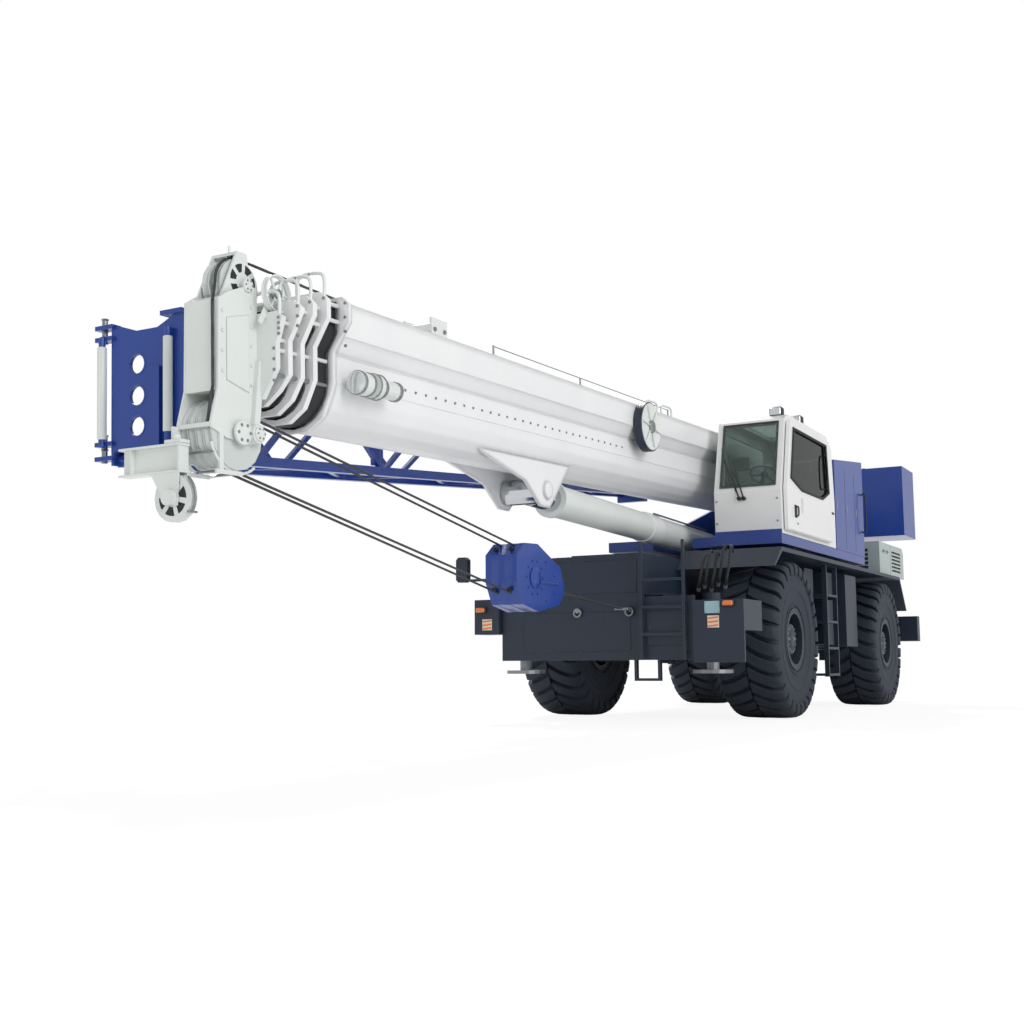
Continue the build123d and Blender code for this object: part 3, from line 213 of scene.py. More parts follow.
def around(at: Triple, radius: float, turns: Array) -> Array:
    """Points round an axis along Y: (x + r cos t, y, z + r sin t) for each angle t.

    Args:
        at: the middle.
        radius: how far from it.
        turns: the angles.

    Returns:
        A row of x, y and z for each angle.
    """
    x, y, z = at
    return np.stack([x + radius * np.cos(turns), np.full(len(turns), y), z + radius * np.sin(turns)], 1)


def lathe(profile: Rows, base: Triple, axis: Triple, sides: int = 24,
          loop: bool = False) -> Solid:
    """A profile turned about an axis: base + along * axis + radius * (cos t, sin t) across it.

    Args:
        profile: rows of (along the axis, radius).
        base: where along = 0.
        axis: the axis of turning.
        sides: points round each ring.
        loop: the profile closes on itself, as for a tyre.

    Returns:
        The turned solid.
    """
    rows = np.asarray(profile, float)
    d, u, v = axes_across(axis)
    t = full_turn(sides)
    around = np.cos(t)[:, None] * u + np.sin(t)[:, None] * v
    rings = np.asarray(base, float) + rows[:, 0, None, None] * d + rows[:, 1, None, None] * around[None]
    return skin(rings, loop)


def bar(start: Triple, end: Triple, radius: float, sides: int = 12,
        edge: float = 0.15) -> Solid:
    """A round bar between two points: four rings along it, of which the end rings are drawn in.

    Args:
        start: the middle of one end.
        end: the middle of the other.
        radius: half its diameter.
        sides: points round it.
        edge: the share of the radius that is taken off the ends' edges.

    Returns:
        The bar.
    """
    a, b = np.asarray(start, float), np.asarray(end, float)
    length = float(np.linalg.norm(b - a))
    cut = radius * edge
    rows = [(0.0, radius - cut), (cut, radius), (length - cut, radius), (length, radius - cut)]
    return lathe(rows, a, b - a, sides)


def spline(points: Rows, per_run: int = 8) -> Array:
    """A smooth curve through the points: the Catmull-Rom cubic of each run, from its four nearest points.

    Args:
        points: what the curve passes through.
        per_run: stations from one of them to the next.

    Returns:
        The curve's points, which end at the last point given.
    """
    p = np.asarray(points, float)
    p = np.concatenate([2 * p[:1] - p[1:2], p, 2 * p[-1:] - p[-2:-1]])
    t = np.linspace(0.0, 1.0, per_run, endpoint=False)[None, :, None]
    a, b, c, d = (p[i:len(p) - 3 + i, None] for i in range(4))
    curve = 0.5 * (2 * b + (c - a) * t + (2 * a - 5 * b + 4 * c - d) * t**2 + (3 * b - a - 3 * c + d) * t**3)
    return np.concatenate([curve.reshape(-1, 3), p[-2:-1]])


def pipe(path: Array, radius: float, sides: int = 10, strands: int = 0, pitch: float = 0.14) -> Solid:
    """A round or stranded profile carried along a path, in the plane across the path's tangent at each point.

    Args:
        path: points along the middle.
        radius: half the diameter.
        sides: points round the profile.
        strands: with strands, the radius falls between them as |cos(strands * angle / 2)|, and the fall
            turns with the length.
        pitch: length in which the strands go round once.

    Returns:
        The pipe or rope.
    """
    path = np.asarray(path, float)
    tangent = np.gradient(path, axis=0)
    tangent /= np.linalg.norm(tangent, axis=1, keepdims=True)
    side = Y_AXIS if abs(float(np.mean(tangent[:, 1]))) < 0.7 else Z_AXIS
    u = np.cross(side, tangent)
    u /= np.linalg.norm(u, axis=1, keepdims=True)
    v = np.cross(tangent, u)
    t = full_turn(sides)[None]
    run = np.concatenate([[0.0], np.cumsum(np.linalg.norm(np.diff(path, axis=0), axis=1))])[:, None]
    r = np.full((len(path), sides), radius)
    if strands:
        r = radius * (0.8 + 0.2 * np.abs(np.cos(strands * (t - 2 * math.pi * run / pitch) / 2.0)))
    rings = path[:, None] + (r * np.cos(t))[..., None] * u[:, None] + (r * np.sin(t))[..., None] * v[:, None]
    return skin(rings)


def wire_rope(start: Triple, end: Triple, radius: float) -> Solid:
    """A taut stranded rope between two points, with a station each 20 mm of the straight line.

    Args:
        start: one end.
        end: the other end.
        radius: half its diameter.

    Returns:
        The rope.
    """
    a, b = np.asarray(start, float), np.asarray(end, float)
    steps = max(3, int(np.linalg.norm(b - a) / 0.02))
    path = a + (b - a) * np.linspace(0.0, 1.0, steps)[:, None]
    return pipe(path, radius, 18, strands=6)


def inset(outline: Array, amount: float) -> Array:
    """The outline drawn in: each corner moves along the mean of its two edges' inward normals.

    Args:
        outline: corners in a plane, either way round.
        amount: how far the edges move inwards, or outwards below zero.

    Returns:
        The moved corners.
    """
    before = outline - np.roll(outline, 1, 0)
    ahead = np.roll(outline, -1, 0)
    after = ahead - outline
    area = float(np.sum(outline[:, 0] * ahead[:, 1] - ahead[:, 0] * outline[:, 1]))
    turn = 1.0 if area > 0 else -1.0
    normals = []
    for edge in (before, after):
        n = np.stack([-edge[:, 1], edge[:, 0]], 1)
        normals.append(n / np.maximum(np.linalg.norm(n, axis=1, keepdims=True), 1e-9))
    mean = normals[0] + normals[1]
    mean /= np.maximum(np.sum(mean * normals[0], 1, keepdims=True), 0.35)
    return outline + turn * amount * mean


class Across(Enum):
    """Which axis a board's thickness runs along."""

    X = 0
    Y = 1
    Z = 2


def board(outline: Rows, across: Across, low: float, high: float,
          edge: float = 0.004) -> Solid:
    """A flat plate: its outline carried through its thickness, drawn in by the edge at both faces.

    Args:
        outline: corners in the two axes other than the thickness's, in their order.
        across: the axis of the thickness.
        low: one face.
        high: the other face.
        edge: how much is taken off the rims.

    Returns:
        The plate.
    """
    flat = np.asarray(outline, float)
    small = inset(flat, edge)
    rings = []
    for shape, level in ((small, low), (flat, low + edge), (flat, high - edge), (small, high)):
        rings.append(np.insert(shape, across.value, level, axis=1))
    return skin(np.stack(rings))


def slab(low: Triple, high: Triple, edge: float = 0.004) -> Solid:
    """A box with its twelve edges taken off: an eight-cornered outline carried up, drawn in at both ends.

    Args:
        low: the corner with the lowest x, y and z.
        high: the opposite corner.
        edge: what is taken off, at most three tenths of the shortest side.

    Returns:
        The box.
    """
    (x0, y0, z0), (x1, y1, z1) = low, high
    e = min(edge, (x1 - x0) * 0.3, (y1 - y0) * 0.3, (z1 - z0) * 0.3)
    outline = [(x0 + e, y0), (x1 - e, y0), (x1, y0 + e), (x1, y1 - e), (x1 - e, y1), (x0 + e, y1),
               (x0, y1 - e), (x0, y0 + e)]
    return board(outline, Across.Z, z0, z1, e)


def bolt_heads(places: Rows, axis: Triple, radius: float = 0.014,
               height: float = 0.01) -> Solid:
    """Hexagon heads on washers: one head's profile is turned about the axis and repeated.

    Args:
        places: the middles of the heads' seats.
        axis: which way they stand out.
        radius: a head's radius.
        height: how far it stands out.

    Returns:
        All the heads.
    """
    rows = [(-0.004, radius * 1.35), (0.002, radius * 1.35), (0.0021, radius), (height * 0.8, radius),
            (height, radius * 0.8)]
    return copies(lathe(rows, (0, 0, 0), axis, 6), np.asarray(places, float))


def gasket(outline: Rows, across: Across, level: float, radius: float) -> Solid:
    """A round rubber seal: six outlines, drawn in by r cos t and raised by r sin t, joined round each corner.

    Args:
        outline: corners of its middle line, in the two axes other than the thickness's.
        across: the axis of the thickness.
        level: where its middle lies on that axis.
        radius: half the seal's diameter.

    Returns:
        The closed ring.
    """
    flat = np.asarray(outline, float)
    rings = []
    for t in full_turn(6):
        shape = inset(flat, radius * math.cos(t))
        rings.append(np.insert(shape, across.value, level + radius * math.sin(t), axis=1))
    return skin(np.stack(rings, 1), loop=True)


def band(outer: Array, inner: Array, across: Across, low: float, high: float) -> Solid:
    """A closed band between two outlines: at each corner, a four-cornered profile from one to the other.

    Args:
        outer: corners of the outer outline.
        inner: as many corners of the inner one, in the same order.
        across: the axis of the band's width.
        low: one rim.
        high: the other rim.

    Returns:
        The band.
    """
    corners = [np.insert(shape, across.value, level, axis=1)
               for shape, level in ((outer, low), (outer, high), (inner, high), (inner, low))]
    return skin(np.stack(corners, 1), loop=True)


def shade_sectors(at: Triple, across: Across, near: float, far: float, count: int,
            raised: float = 0.0015) -> Solid:
    """Thin dark sectors on a wheel's face: painted shade that stands for the shaded openings between its
    spokes.

    Args:
        at: the middle of the wheel's face.
        across: the wheel's axis.
        near: inner radius of the sectors.
        far: outer radius.
        count: how many go round.
        raised: how far they stand off both ways.

    Returns:
        One board per sector, whose corners are at r (cos a, sin a) for the sector's angles.
    """
    share = 0.34 * math.pi / count * 2.0
    middle = np.delete(np.asarray(at, float), across.value)
    level = float(at[across.value])
    sectors = []
    for start in np.arange(count) * 2.0 * math.pi / count + 0.3:
        a = start + np.linspace(-share, share, 7)
        b = start + np.linspace(share * 0.7, -share * 0.7, 5)
        outer = far * np.stack([np.cos(a), np.sin(a)], 1)
        inner = near * np.stack([np.cos(b), np.sin(b)], 1)
        outline = np.concatenate([outer, inner])
        sectors.append(board(middle + outline, across, level - raised, level + raised, 0.0005))
    return union(sectors)


def spokes(at: Triple, near: tuple[float, float], far: tuple[float, float], radius: float,
           first: float = 0.0) -> list[Solid]:
    """Six round spokes of a wheel that turns about Y: bars from near (cos t, sin t) to far (cos t, sin t).

    Args:
        at: the wheel's middle.
        near: the spokes' inner radius, and their y there.
        far: their outer radius, and their y there.
        radius: half a spoke's diameter.
        first: the angle t of the first one.

    Returns:
        The spokes.
    """
    made = []
    for t in full_turn(6, first):
        ends = [(at[0] + r * math.cos(t), y, at[-1] + r * math.sin(t)) for r, y in (near, far)]
        made.append(bar(*ends, radius, 8))
    return made


def rolled(points: Array, angle: float | Array) -> Array:
    """Points turned about Y: (x cos a + z sin a, y, z cos a - x sin a).

    Args:
        points: rows of x, y and z.
        angle: one for all the points, or one for each.

    Returns:
        The turned points.
    """
    x, y, z = points.T
    c, s = np.cos(angle), np.sin(angle)
    return np.stack([x * c + z * s, y, z * c - x * s], 1)


def on_boom(points: Array) -> Array:
    """From the boom's level frame to its stored place: turned by its lean about Y, then moved to its foot."""
    return rolled(points, BOOM_LEAN) + (BOOM_FOOT[0], 0.0, BOOM_FOOT[1])


DUST = (150, 143, 132)
MIX_FIRST, MIX_SECOND, MIX_COLOUR = 6, 7, 2  # the colour sockets of a mix node


def linear(colour: Triple) -> tuple[float, float, float, float]:
    """A display colour in linear light: c / 12.92 when dark, otherwise ((c + 0.055) / 1.055) ** 2.4.

    Args:
        colour: red, green and blue from 0 to 255.

    Returns:
        Linear red, green, blue and alpha.
    """
    c = np.asarray(colour, float) / 255.0
    c = np.where(c <= 0.04045, c / 12.92, ((c + 0.055) / 1.055) ** 2.4)
    return float(c[0]), float(c[1]), float(c[2]), 1.0


class Kind(Enum):
    """What a finish is made of."""

    ENAMEL = "enamel"
    RUBBER = "rubber"
    METAL = "metal"
    PLASTIC = "plastic"
    GLASS = "glass"
    FABRIC = "fabric"
    LENS = "lens"


class Effect:
    """Shader node groups that the finishes share; each is built once, when it is first asked for."""

    @staticmethod
    def start(name: str, output: str, **values: float) -> tuple[Tree, Node, Node]:
        """A new group with a place as its first input.

        Args:
            name: the group's name.
            output: the name of its one value output.
            values: its number inputs and what they are when nothing is given.

        Returns:
            The tree, its input node and its output node.
        """
        tree = bpy.data.node_groups.new(name, "ShaderNodeTree")
        tree.interface.new_socket(name="Vector", in_out="INPUT", socket_type="NodeSocketVector")
        for socket, default in values.items():
            made = tree.interface.new_socket(name=socket, in_out="INPUT", socket_type="NodeSocketFloat")
            made.default_value = default
        tree.interface.new_socket(name=output, in_out="OUTPUT", socket_type="NodeSocketFloat")
        return tree, tree.nodes.new("NodeGroupInput"), tree.nodes.new("NodeGroupOutput")

    @staticmethod
    def maths(tree: Tree, operation: str, first: float | Socket, second: float | Socket,
              clamp: bool = False) -> Socket:
        """One sum, product or other operation on two values.

        Args:
            tree: where the node goes.
            operation: what it does.
            first: a number or a socket.
            second: a number or a socket.
            clamp: whether the result is kept within 0 to 1.

        Returns:
            The node's output.
        """
        node = tree.nodes.new("ShaderNodeMath")
        node.operation = operation
        node.use_clamp = clamp
        for i, value in enumerate((first, second)):
            if isinstance(value, (int, float)):
                node.inputs[i].default_value = value
            else:
                tree.links.new(value, node.inputs[i])
        return node.outputs[0]

    @staticmethod
    def noise(tree: Tree, vector: Socket,
              scale: float | Socket, detail: float = 3.0) -> Socket:
        """A noise texture.

        Args:
            tree: where the node goes.
            vector: the place that it is read at.
            scale: how fine it is, as a number or a socket.
            detail: how many finer layers it has.

        Returns:
            Its factor, from 0 to 1.
        """
        node = tree.nodes.new("ShaderNodeTexNoise")
        node.inputs["Detail"].default_value = detail
        tree.links.new(vector, node.inputs["Vector"])
        if isinstance(scale, (int, float)):
            node.inputs["Scale"].default_value = scale
        else:
            tree.links.new(scale, node.inputs["Scale"])
        return node.outputs[0]

    @classmethod
    @cache
    def grain(cls) -> Tree:
        """Height of orange peel or casting grain: fine noise times its strength.

        Returns:
            The group.
        """
        tree, inner, outer = cls.start("SurfaceGrain", "Height", Scale=300.0, Strength=1.0)
        fine = cls.noise(tree, inner.outputs["Vector"], inner.outputs["Scale"], 4.0)
        tree.links.new(cls.maths(tree, "MULTIPLY", fine, inner.outputs["Strength"]), outer.inputs[0])
        return tree

    @classmethod
    @cache
    def mottle(cls) -> Tree:
        """Slow change of tone over the surface: two noises, spread about the middle by the amount.

        Returns:
            The group.
        """
        tree, inner, outer = cls.start("ToneMottle", "Value", Scale=2.0, Amount=0.1)
        wide = cls.noise(tree, inner.outputs["Vector"], inner.outputs["Scale"], 2.0)
        small = cls.noise(tree, inner.outputs["Vector"], 37.0, 3.0)
        both = cls.maths(tree, "ADD", wide, cls.maths(tree, "MULTIPLY", small, 0.35))
        spread = cls.maths(tree, "MULTIPLY", cls.maths(tree, "SUBTRACT", both, 0.67), inner.outputs["Amount"])
        tree.links.new(cls.maths(tree, "ADD", spread, 0.5, clamp=True), outer.inputs[0])
        return tree

    @classmethod
    @cache
    def dust(cls) -> Tree:
        """Dust mask: more on faces that look up, and more towards the ground, broken up by noise.

        Returns:
            The group.
        """
        tree, inner, outer = cls.start("SettledDust", "Mask", Amount=0.2)
        shape = tree.nodes.new("ShaderNodeNewGeometry")
        normal = tree.nodes.new("ShaderNodeSeparateXYZ")
        tree.links.new(shape.outputs["Normal"], normal.inputs[0])
        place = tree.nodes.new("ShaderNodeSeparateXYZ")
        tree.links.new(inner.outputs["Vector"], place.inputs[0])
        up = cls.maths(tree, "MULTIPLY", cls.maths(tree, "MAXIMUM", normal.outputs[2], 0.0), 0.8)
        low = cls.maths(tree, "MULTIPLY", cls.maths(tree, "SUBTRACT", 1.3, place.outputs[2], clamp=True), 0.6)
        broken = cls.noise(tree, inner.outputs["Vector"], 5.0, 5.0)
        mask = cls.maths(tree, "MULTIPLY", cls.maths(tree, "ADD", up, low), broken)
        scaled = cls.maths(tree, "MULTIPLY", mask, inner.outputs["Amount"], clamp=True)
        tree.links.new(scaled, outer.inputs[0])
        return tree

    @classmethod
    @cache
    def edge_wear(cls) -> Tree:
        """Wear mask: where the normal of a rounded edge leaves the face's own normal, broken up by noise.

        Returns:
            The group.
        """
        tree, inner, outer = cls.start("EdgeWear", "Mask", Radius=0.006, Amount=0.5)
        rounded = tree.nodes.new("ShaderNodeBevel")
        rounded.samples = 4
        tree.links.new(inner.outputs["Radius"], rounded.inputs["Radius"])
        shape = tree.nodes.new("ShaderNodeNewGeometry")
        dot = tree.nodes.new("ShaderNodeVectorMath")
        dot.operation = "DOT_PRODUCT"
        tree.links.new(rounded.outputs[0], dot.inputs[0])
        tree.links.new(shape.outputs["Normal"], dot.inputs[1])
        away = cls.maths(tree, "MULTIPLY", cls.maths(tree, "SUBTRACT", 1.0, dot.outputs["Value"]), 6.0)
        broken = cls.maths(tree, "MULTIPLY", cls.noise(tree, inner.outputs["Vector"], 14.0, 5.0), 1.3)
        mask = cls.maths(tree, "MULTIPLY", away, broken)
        scaled = cls.maths(tree, "MULTIPLY", mask, inner.outputs["Amount"], clamp=True)
        tree.links.new(scaled, outer.inputs[0])
        return tree

    @classmethod
    @cache
    def weave(cls) -> Tree:
        """Height of a plain weave: two crossed bands of threads.

        Returns:
            The group.
        """
        tree, inner, outer = cls.start("PlainWeave", "Height")
        bands = []
        for direction in ("X", "Z"):
            wave = tree.nodes.new("ShaderNodeTexWave")
            wave.bands_direction = direction
            wave.inputs["Scale"].default_value = 90.0
            tree.links.new(inner.outputs["Vector"], wave.inputs["Vector"])
            bands.append(wave.outputs["Fac"])
        tree.links.new(cls.maths(tree, "MAXIMUM", bands[0], bands[1]), outer.inputs[0])
        return tree


@dataclass(frozen=True)
class Finish:
    """One finish: its colour, how it changes over the surface, and how rough and raised it is."""

    name: str
    slot: str
    colour: tuple[int, int, int]
    kind: Kind = Kind.ENAMEL
    roughness: float = 0.4
    metallic: float = 0.0
    coat: float = 0.0
    coat_roughness: float = 0.12
    mottle: float = 0.25
    grain: float = 260.0
    bump: float = 0.04
    dust: float = 0.12
    wear: float = 0.35
    worn: tuple[int, int, int] = (120, 124, 128)
    soften: float = 0.0

    def material(self) -> bpy.types.Material:
        """The finish as a Blender material, which is made when it is first asked for.

        Returns:
            The material.
        """
        if self.name in bpy.data.materials:
            return bpy.data.materials[self.name]
        material = bpy.data.materials.new(self.name)
        material.use_nodes = True
        tree = material.node_tree
        shader = tree.nodes["Principled BSDF"]
        place = tree.nodes.new("ShaderNodeTexCoord").outputs["Object"]
        shader.inputs["Metallic"].default_value = self.metallic
        shader.inputs["Coat Weight"].default_value = self.coat
        if self.coat:
            shader.inputs["Coat Roughness"].default_value = self.coat_roughness
        if self.kind is Kind.GLASS:
            self.glass(tree, shader, place)
        else:
            self.cover(tree, shader, place)
            self.relief(tree, shader, place)
        return material

    def cover(self, tree: Tree, shader: Node, place: Socket) -> None:
        """Colour and roughness: the tone moves both, then dust and worn edges are laid over the colour.

        Args:
            tree: the material's nodes.
            shader: its surface node.
            place: the point on the object.
        """
        tone = self.group(tree, Effect.mottle(), place, Scale=1.7, Amount=self.mottle)
        dark = tuple(0.86 * c for c in self.colour)
        light = tuple(min(255.0, 1.05 * c + 3.0) for c in self.colour)
        colour = self.blend(tree, tone, linear(dark), linear(light))
        rough = Effect.maths(tree, "ADD", Effect.maths(tree, "MULTIPLY", tone, 0.16), self.roughness - 0.08)
        if self.dust:
            dust = self.group(tree, Effect.dust(), place, Amount=self.dust)
            colour = self.blend(tree, dust, colour, linear(DUST))
            rough = Effect.maths(tree, "ADD", rough, Effect.maths(tree, "MULTIPLY", dust, 0.4), clamp=True)
        if self.wear:
            wear = self.group(tree, Effect.edge_wear(), place, Radius=0.005, Amount=self.wear)
            colour = self.blend(tree, wear, colour, linear(self.worn))
        tree.links.new(colour, shader.inputs["Base Color"])
        tree.links.new(rough, shader.inputs["Roughness"])

    def relief(self, tree: Tree, shader: Node, place: Socket) -> None:
        """The fine relief: a weave or a grain as bumps, over edges that may be shaded as rounded.

        Args:
            tree: the material's nodes.
            shader: its surface node.
            place: the point on the object.
        """
        if self.kind is Kind.FABRIC:
            height = self.group(tree, Effect.weave(), place)
            shader.inputs["Sheen Weight"].default_value = 0.3
        else:
            height = self.group(tree, Effect.grain(), place, Scale=self.grain, Strength=1.0)
        bump = tree.nodes.new("ShaderNodeBump")
        bump.inputs["Strength"].default_value = self.bump
        bump.inputs["Distance"].default_value = 0.002
        tree.links.new(height, bump.inputs["Height"])
        if self.soften:
            rounded = tree.nodes.new("ShaderNodeBevel")
            rounded.samples = 6
            rounded.inputs["Radius"].default_value = self.soften
            tree.links.new(rounded.outputs[0], bump.inputs["Normal"])
        tree.links.new(bump.outputs[0], shader.inputs["Normal"])

    def glass(self, tree: Tree, shader: Node, place: Socket) -> None:
        """Tinted safety glass, a little darker and duller towards its smudges.

        Args:
            tree: the material's nodes.
            shader: its surface node.
            place: the point on the object.
        """
        tone = self.group(tree, Effect.mottle(), place, Scale=2.5, Amount=0.35)
        dark = linear(tuple(0.9 * c for c in self.colour))
        tree.links.new(self.blend(tree, tone, dark, linear(self.colour)), shader.inputs["Base Color"])
        tree.links.new(Effect.maths(tree, "MULTIPLY", tone, self.roughness), shader.inputs["Roughness"])
        shader.inputs["Transmission Weight"].default_value = 0.92
        shader.inputs["IOR"].default_value = 1.2

    @staticmethod
    def group(tree: Tree, effect: Tree, place: Socket,
              **values: float) -> Socket:
        """A shared effect placed in this material.

        Args:
            tree: the material's nodes.
            effect: the shared group.
            place: the point on the object.
            values: what its sockets are set to.

        Returns:
            Its output.
        """
        node = tree.nodes.new("ShaderNodeGroup")
        node.node_tree = effect
        tree.links.new(place, node.inputs["Vector"])
        for socket, value in values.items():
            node.inputs[socket].default_value = value
        return node.outputs[0]

    @staticmethod
    def blend(tree: Tree, factor: Socket,
              first: tuple[float, ...] | Socket,
              second: tuple[float, ...] | Socket) -> Socket:
        """A mix of two colours.

        Args:
            tree: the material's nodes.
            factor: 0 for the first colour, 1 for the second.
            first: a colour or a socket.
            second: a colour or a socket.

        Returns:
            The mixed colour.
        """
        node = tree.nodes.new("ShaderNodeMix")
        node.data_type = "RGBA"
        tree.links.new(factor, node.inputs[0])
        for i, side in ((MIX_FIRST, first), (MIX_SECOND, second)):
            if isinstance(side, tuple):
                node.inputs[i].default_value = side
            else:
                tree.links.new(side, node.inputs[i])
        return node.outputs[MIX_COLOUR]


SLATE = Finish("slate_enamel", "carrier_paint", (26, 40, 58), roughness=0.5, coat=0.1, dust=0.05)
HOOD_GREY = Finish("hood_enamel", "hood_paint", (170, 184, 181), roughness=0.42, coat=0.2)
BLUE = Finish("blue_enamel", "blue_paint", (16, 60, 150), roughness=0.35, coat=0.35, wear=0.2)
WHITE = Finish("white_enamel", "boom_paint", (240, 242, 244), roughness=0.35, coat=0.35, mottle=0.2,
               dust=0.06, wear=0.1, worn=(180, 186, 188))
BOOM_WHITE = Finish("boom_enamel", "boom_paint", (240, 242, 244), roughness=0.35, coat=0.2, mottle=0.2,
                    dust=0.06, wear=0.0, soften=0.07)
CAB_WHITE = Finish("cab_enamel", "cab_paint", (240, 241, 240), roughness=0.3, coat=0.5, mottle=0.15,
                   dust=0.05, wear=0.08, worn=(190, 194, 196))
PALE = Finish("pale_enamel", "head_paint", (226, 231, 228), roughness=0.42, coat=0.2, mottle=0.3, wear=0.25)
RIM_SLATE = Finish("rim_enamel", "rim_paint", (32, 44, 60), roughness=0.5, dust=0.08)
CASTING = Finish("axle_casting", "axle_iron", (44, 54, 66), roughness=0.6, grain=120.0, bump=0.25, dust=0.25)
ENGINE = Finish("engine_casting", "engine_iron", (72, 74, 76), roughness=0.65, grain=110.0, bump=0.3,
                dust=0.25)
STEEL = Finish("worn_steel", "winch_steel", (150, 155, 158), Kind.METAL, roughness=0.42, metallic=0.85,
               grain=400.0, worn=(190, 192, 194))
NYLON = Finish("cast_nylon", "sheave_plastic", (206, 213, 210), Kind.PLASTIC, roughness=0.5, grain=500.0,
               wear=0.15)
BLACK = Finish("black_moulding", "black_plastic", (24, 27, 31), Kind.PLASTIC, roughness=0.55, grain=700.0,
               bump=0.12, wear=0.2, worn=(70, 74, 78))
SEAT = Finish("seat_cloth", "black_plastic", (46, 50, 56), Kind.FABRIC, roughness=0.85, bump=0.5, wear=0.0,
              dust=0.05)
GLASS = Finish("tinted_glass", "cab_glass", (196, 212, 206), Kind.GLASS, roughness=0.03)
# the door glass is darker than the screen's: its colour paints in the shade of the cab seen through it
SHADED_DOOR_GLASS = Finish("dark_tinted_glass", "cab_glass", (62, 70, 72), Kind.GLASS, roughness=0.03)
ROPE = Finish("greased_rope", "wire_rope", (70, 72, 76), Kind.METAL, roughness=0.5, metallic=0.6,
              grain=900.0, bump=0.2, wear=0.0)
CHROME = Finish("hard_chrome_plate", "hard_chrome", (205, 208, 210), Kind.METAL, roughness=0.16,
                metallic=1.0, mottle=0.1, bump=0.01, dust=0.03, wear=0.0)
RUBBER = Finish("tyre_rubber", "tyre", (28, 40, 56), Kind.RUBBER, roughness=0.72, grain=180.0, bump=0.3,
                dust=0.10, wear=0.2, worn=(56, 68, 82))
SEAL = Finish("seal_rubber", "black_plastic", (20, 22, 25), Kind.RUBBER, roughness=0.6, grain=500.0,
              wear=0.0)
AMBER = Finish("amber_lens", "black_plastic", (236, 122, 44), Kind.LENS, roughness=0.2, coat=0.8,
               grain=150.0, bump=0.3, dust=0.0, wear=0.0)
RED = Finish("red_lens", "black_plastic", (180, 34, 30), Kind.LENS, roughness=0.2, coat=0.8, grain=150.0,
             bump=0.3, dust=0.0, wear=0.0)
CLEAR = Finish("clear_lens", "hard_chrome", (222, 228, 230), Kind.LENS, roughness=0.15, metallic=0.4,
               coat=0.8, dust=0.0, wear=0.0)
BLANK = Finish("blank_plate", "head_paint", (158, 190, 200), roughness=0.4, wear=0.0, dust=0.05)
CREAM = Finish("reflector_cream", "head_paint", (226, 220, 196), roughness=0.35, wear=0.0, dust=0.0)

BY_SLOT = {"carrier_paint": SLATE, "hood_paint": HOOD_GREY, "blue_paint": BLUE, "cab_paint": CAB_WHITE,
           "boom_paint": WHITE, "head_paint": PALE, "rim_paint": RIM_SLATE, "axle_iron": CASTING,
           "engine_iron": ENGINE, "winch_steel": STEEL, "sheave_plastic": NYLON, "black_plastic": BLACK,
           "cab_glass": GLASS, "wire_rope": ROPE, "hard_chrome": CHROME, "tyre": RUBBER}
OF_NODE = {"cab_door_glass": SHADED_DOOR_GLASS, "boom_base": BOOM_WHITE}


@dataclass
class Piece:
    """One Blender object: solids in one or more finishes that ride on one body.

    Where it has a place, such as on_boom, each solid is put through it when it is added.
    """

    name: str
    body: str
    slot: str
    place: Callable[[Array], Array] | None = None
    parts: list[tuple[Solid, Finish]] = field(default_factory=list)

    def add(self, finish: Finish, *solids: Solid) -> None:
        """More solids in a finish."""
        for solid in solids:
            self.parts.append((solid.mapped(self.place) if self.place else solid, finish))

    def both(self, finish: Finish, *solids: Solid) -> None:
        """More solids in a finish, each followed by its mirror image."""
        for solid in solids:
            self.add(finish, solid, solid.mirrored())

    def make(self, *replaced: str, smooth: float = 32.0, rides: bool = True) -> bpy.types.Object:
        """Builds the object, shades it and fixes it to its body.

        Args:
            replaced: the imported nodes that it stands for.
            smooth: faces that meet at less than this angle, in degrees, shade as one.
            rides: whether it is fixed to its body here; a piece between two bodies is not.

        Returns:
            The object.
        """
        whole = union(solid for solid, _ in self.parts)
        points = whole.points - np.array([MID, 0.0, 0.0])
        faces = whole.quads.tolist() + [cap.tolist() for cap in whole.caps]
        mesh = bpy.data.meshes.new(self.name)
        mesh.from_pydata(points.tolist(), [], faces)
        finishes = list(dict.fromkeys(finish for _, finish in self.parts))
        for finish in finishes:
            mesh.materials.append(finish.material())
        quads = [np.full(len(s.quads), finishes.index(f)) for s, f in self.parts]
        caps = [np.full(len(s.caps), finishes.index(f)) for s, f in self.parts]
        mesh.polygons.foreach_set("material_index", np.concatenate(quads + caps).astype(np.int32))
        mesh.polygons.foreach_set("use_smooth", np.ones(len(faces), bool))
        mesh.set_sharp_from_angle(angle=math.radians(smooth))
        mesh.validate()
        mesh.update()
        made = bpy.data.objects.new(self.name, mesh)
        bpy.context.collection.objects.link(made)
        if rides:
            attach(made, self.body)
        if replaced:
            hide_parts(*replaced)
        LOG.info("%s: %d faces on %s", self.name, len(faces), self.body)
        return made


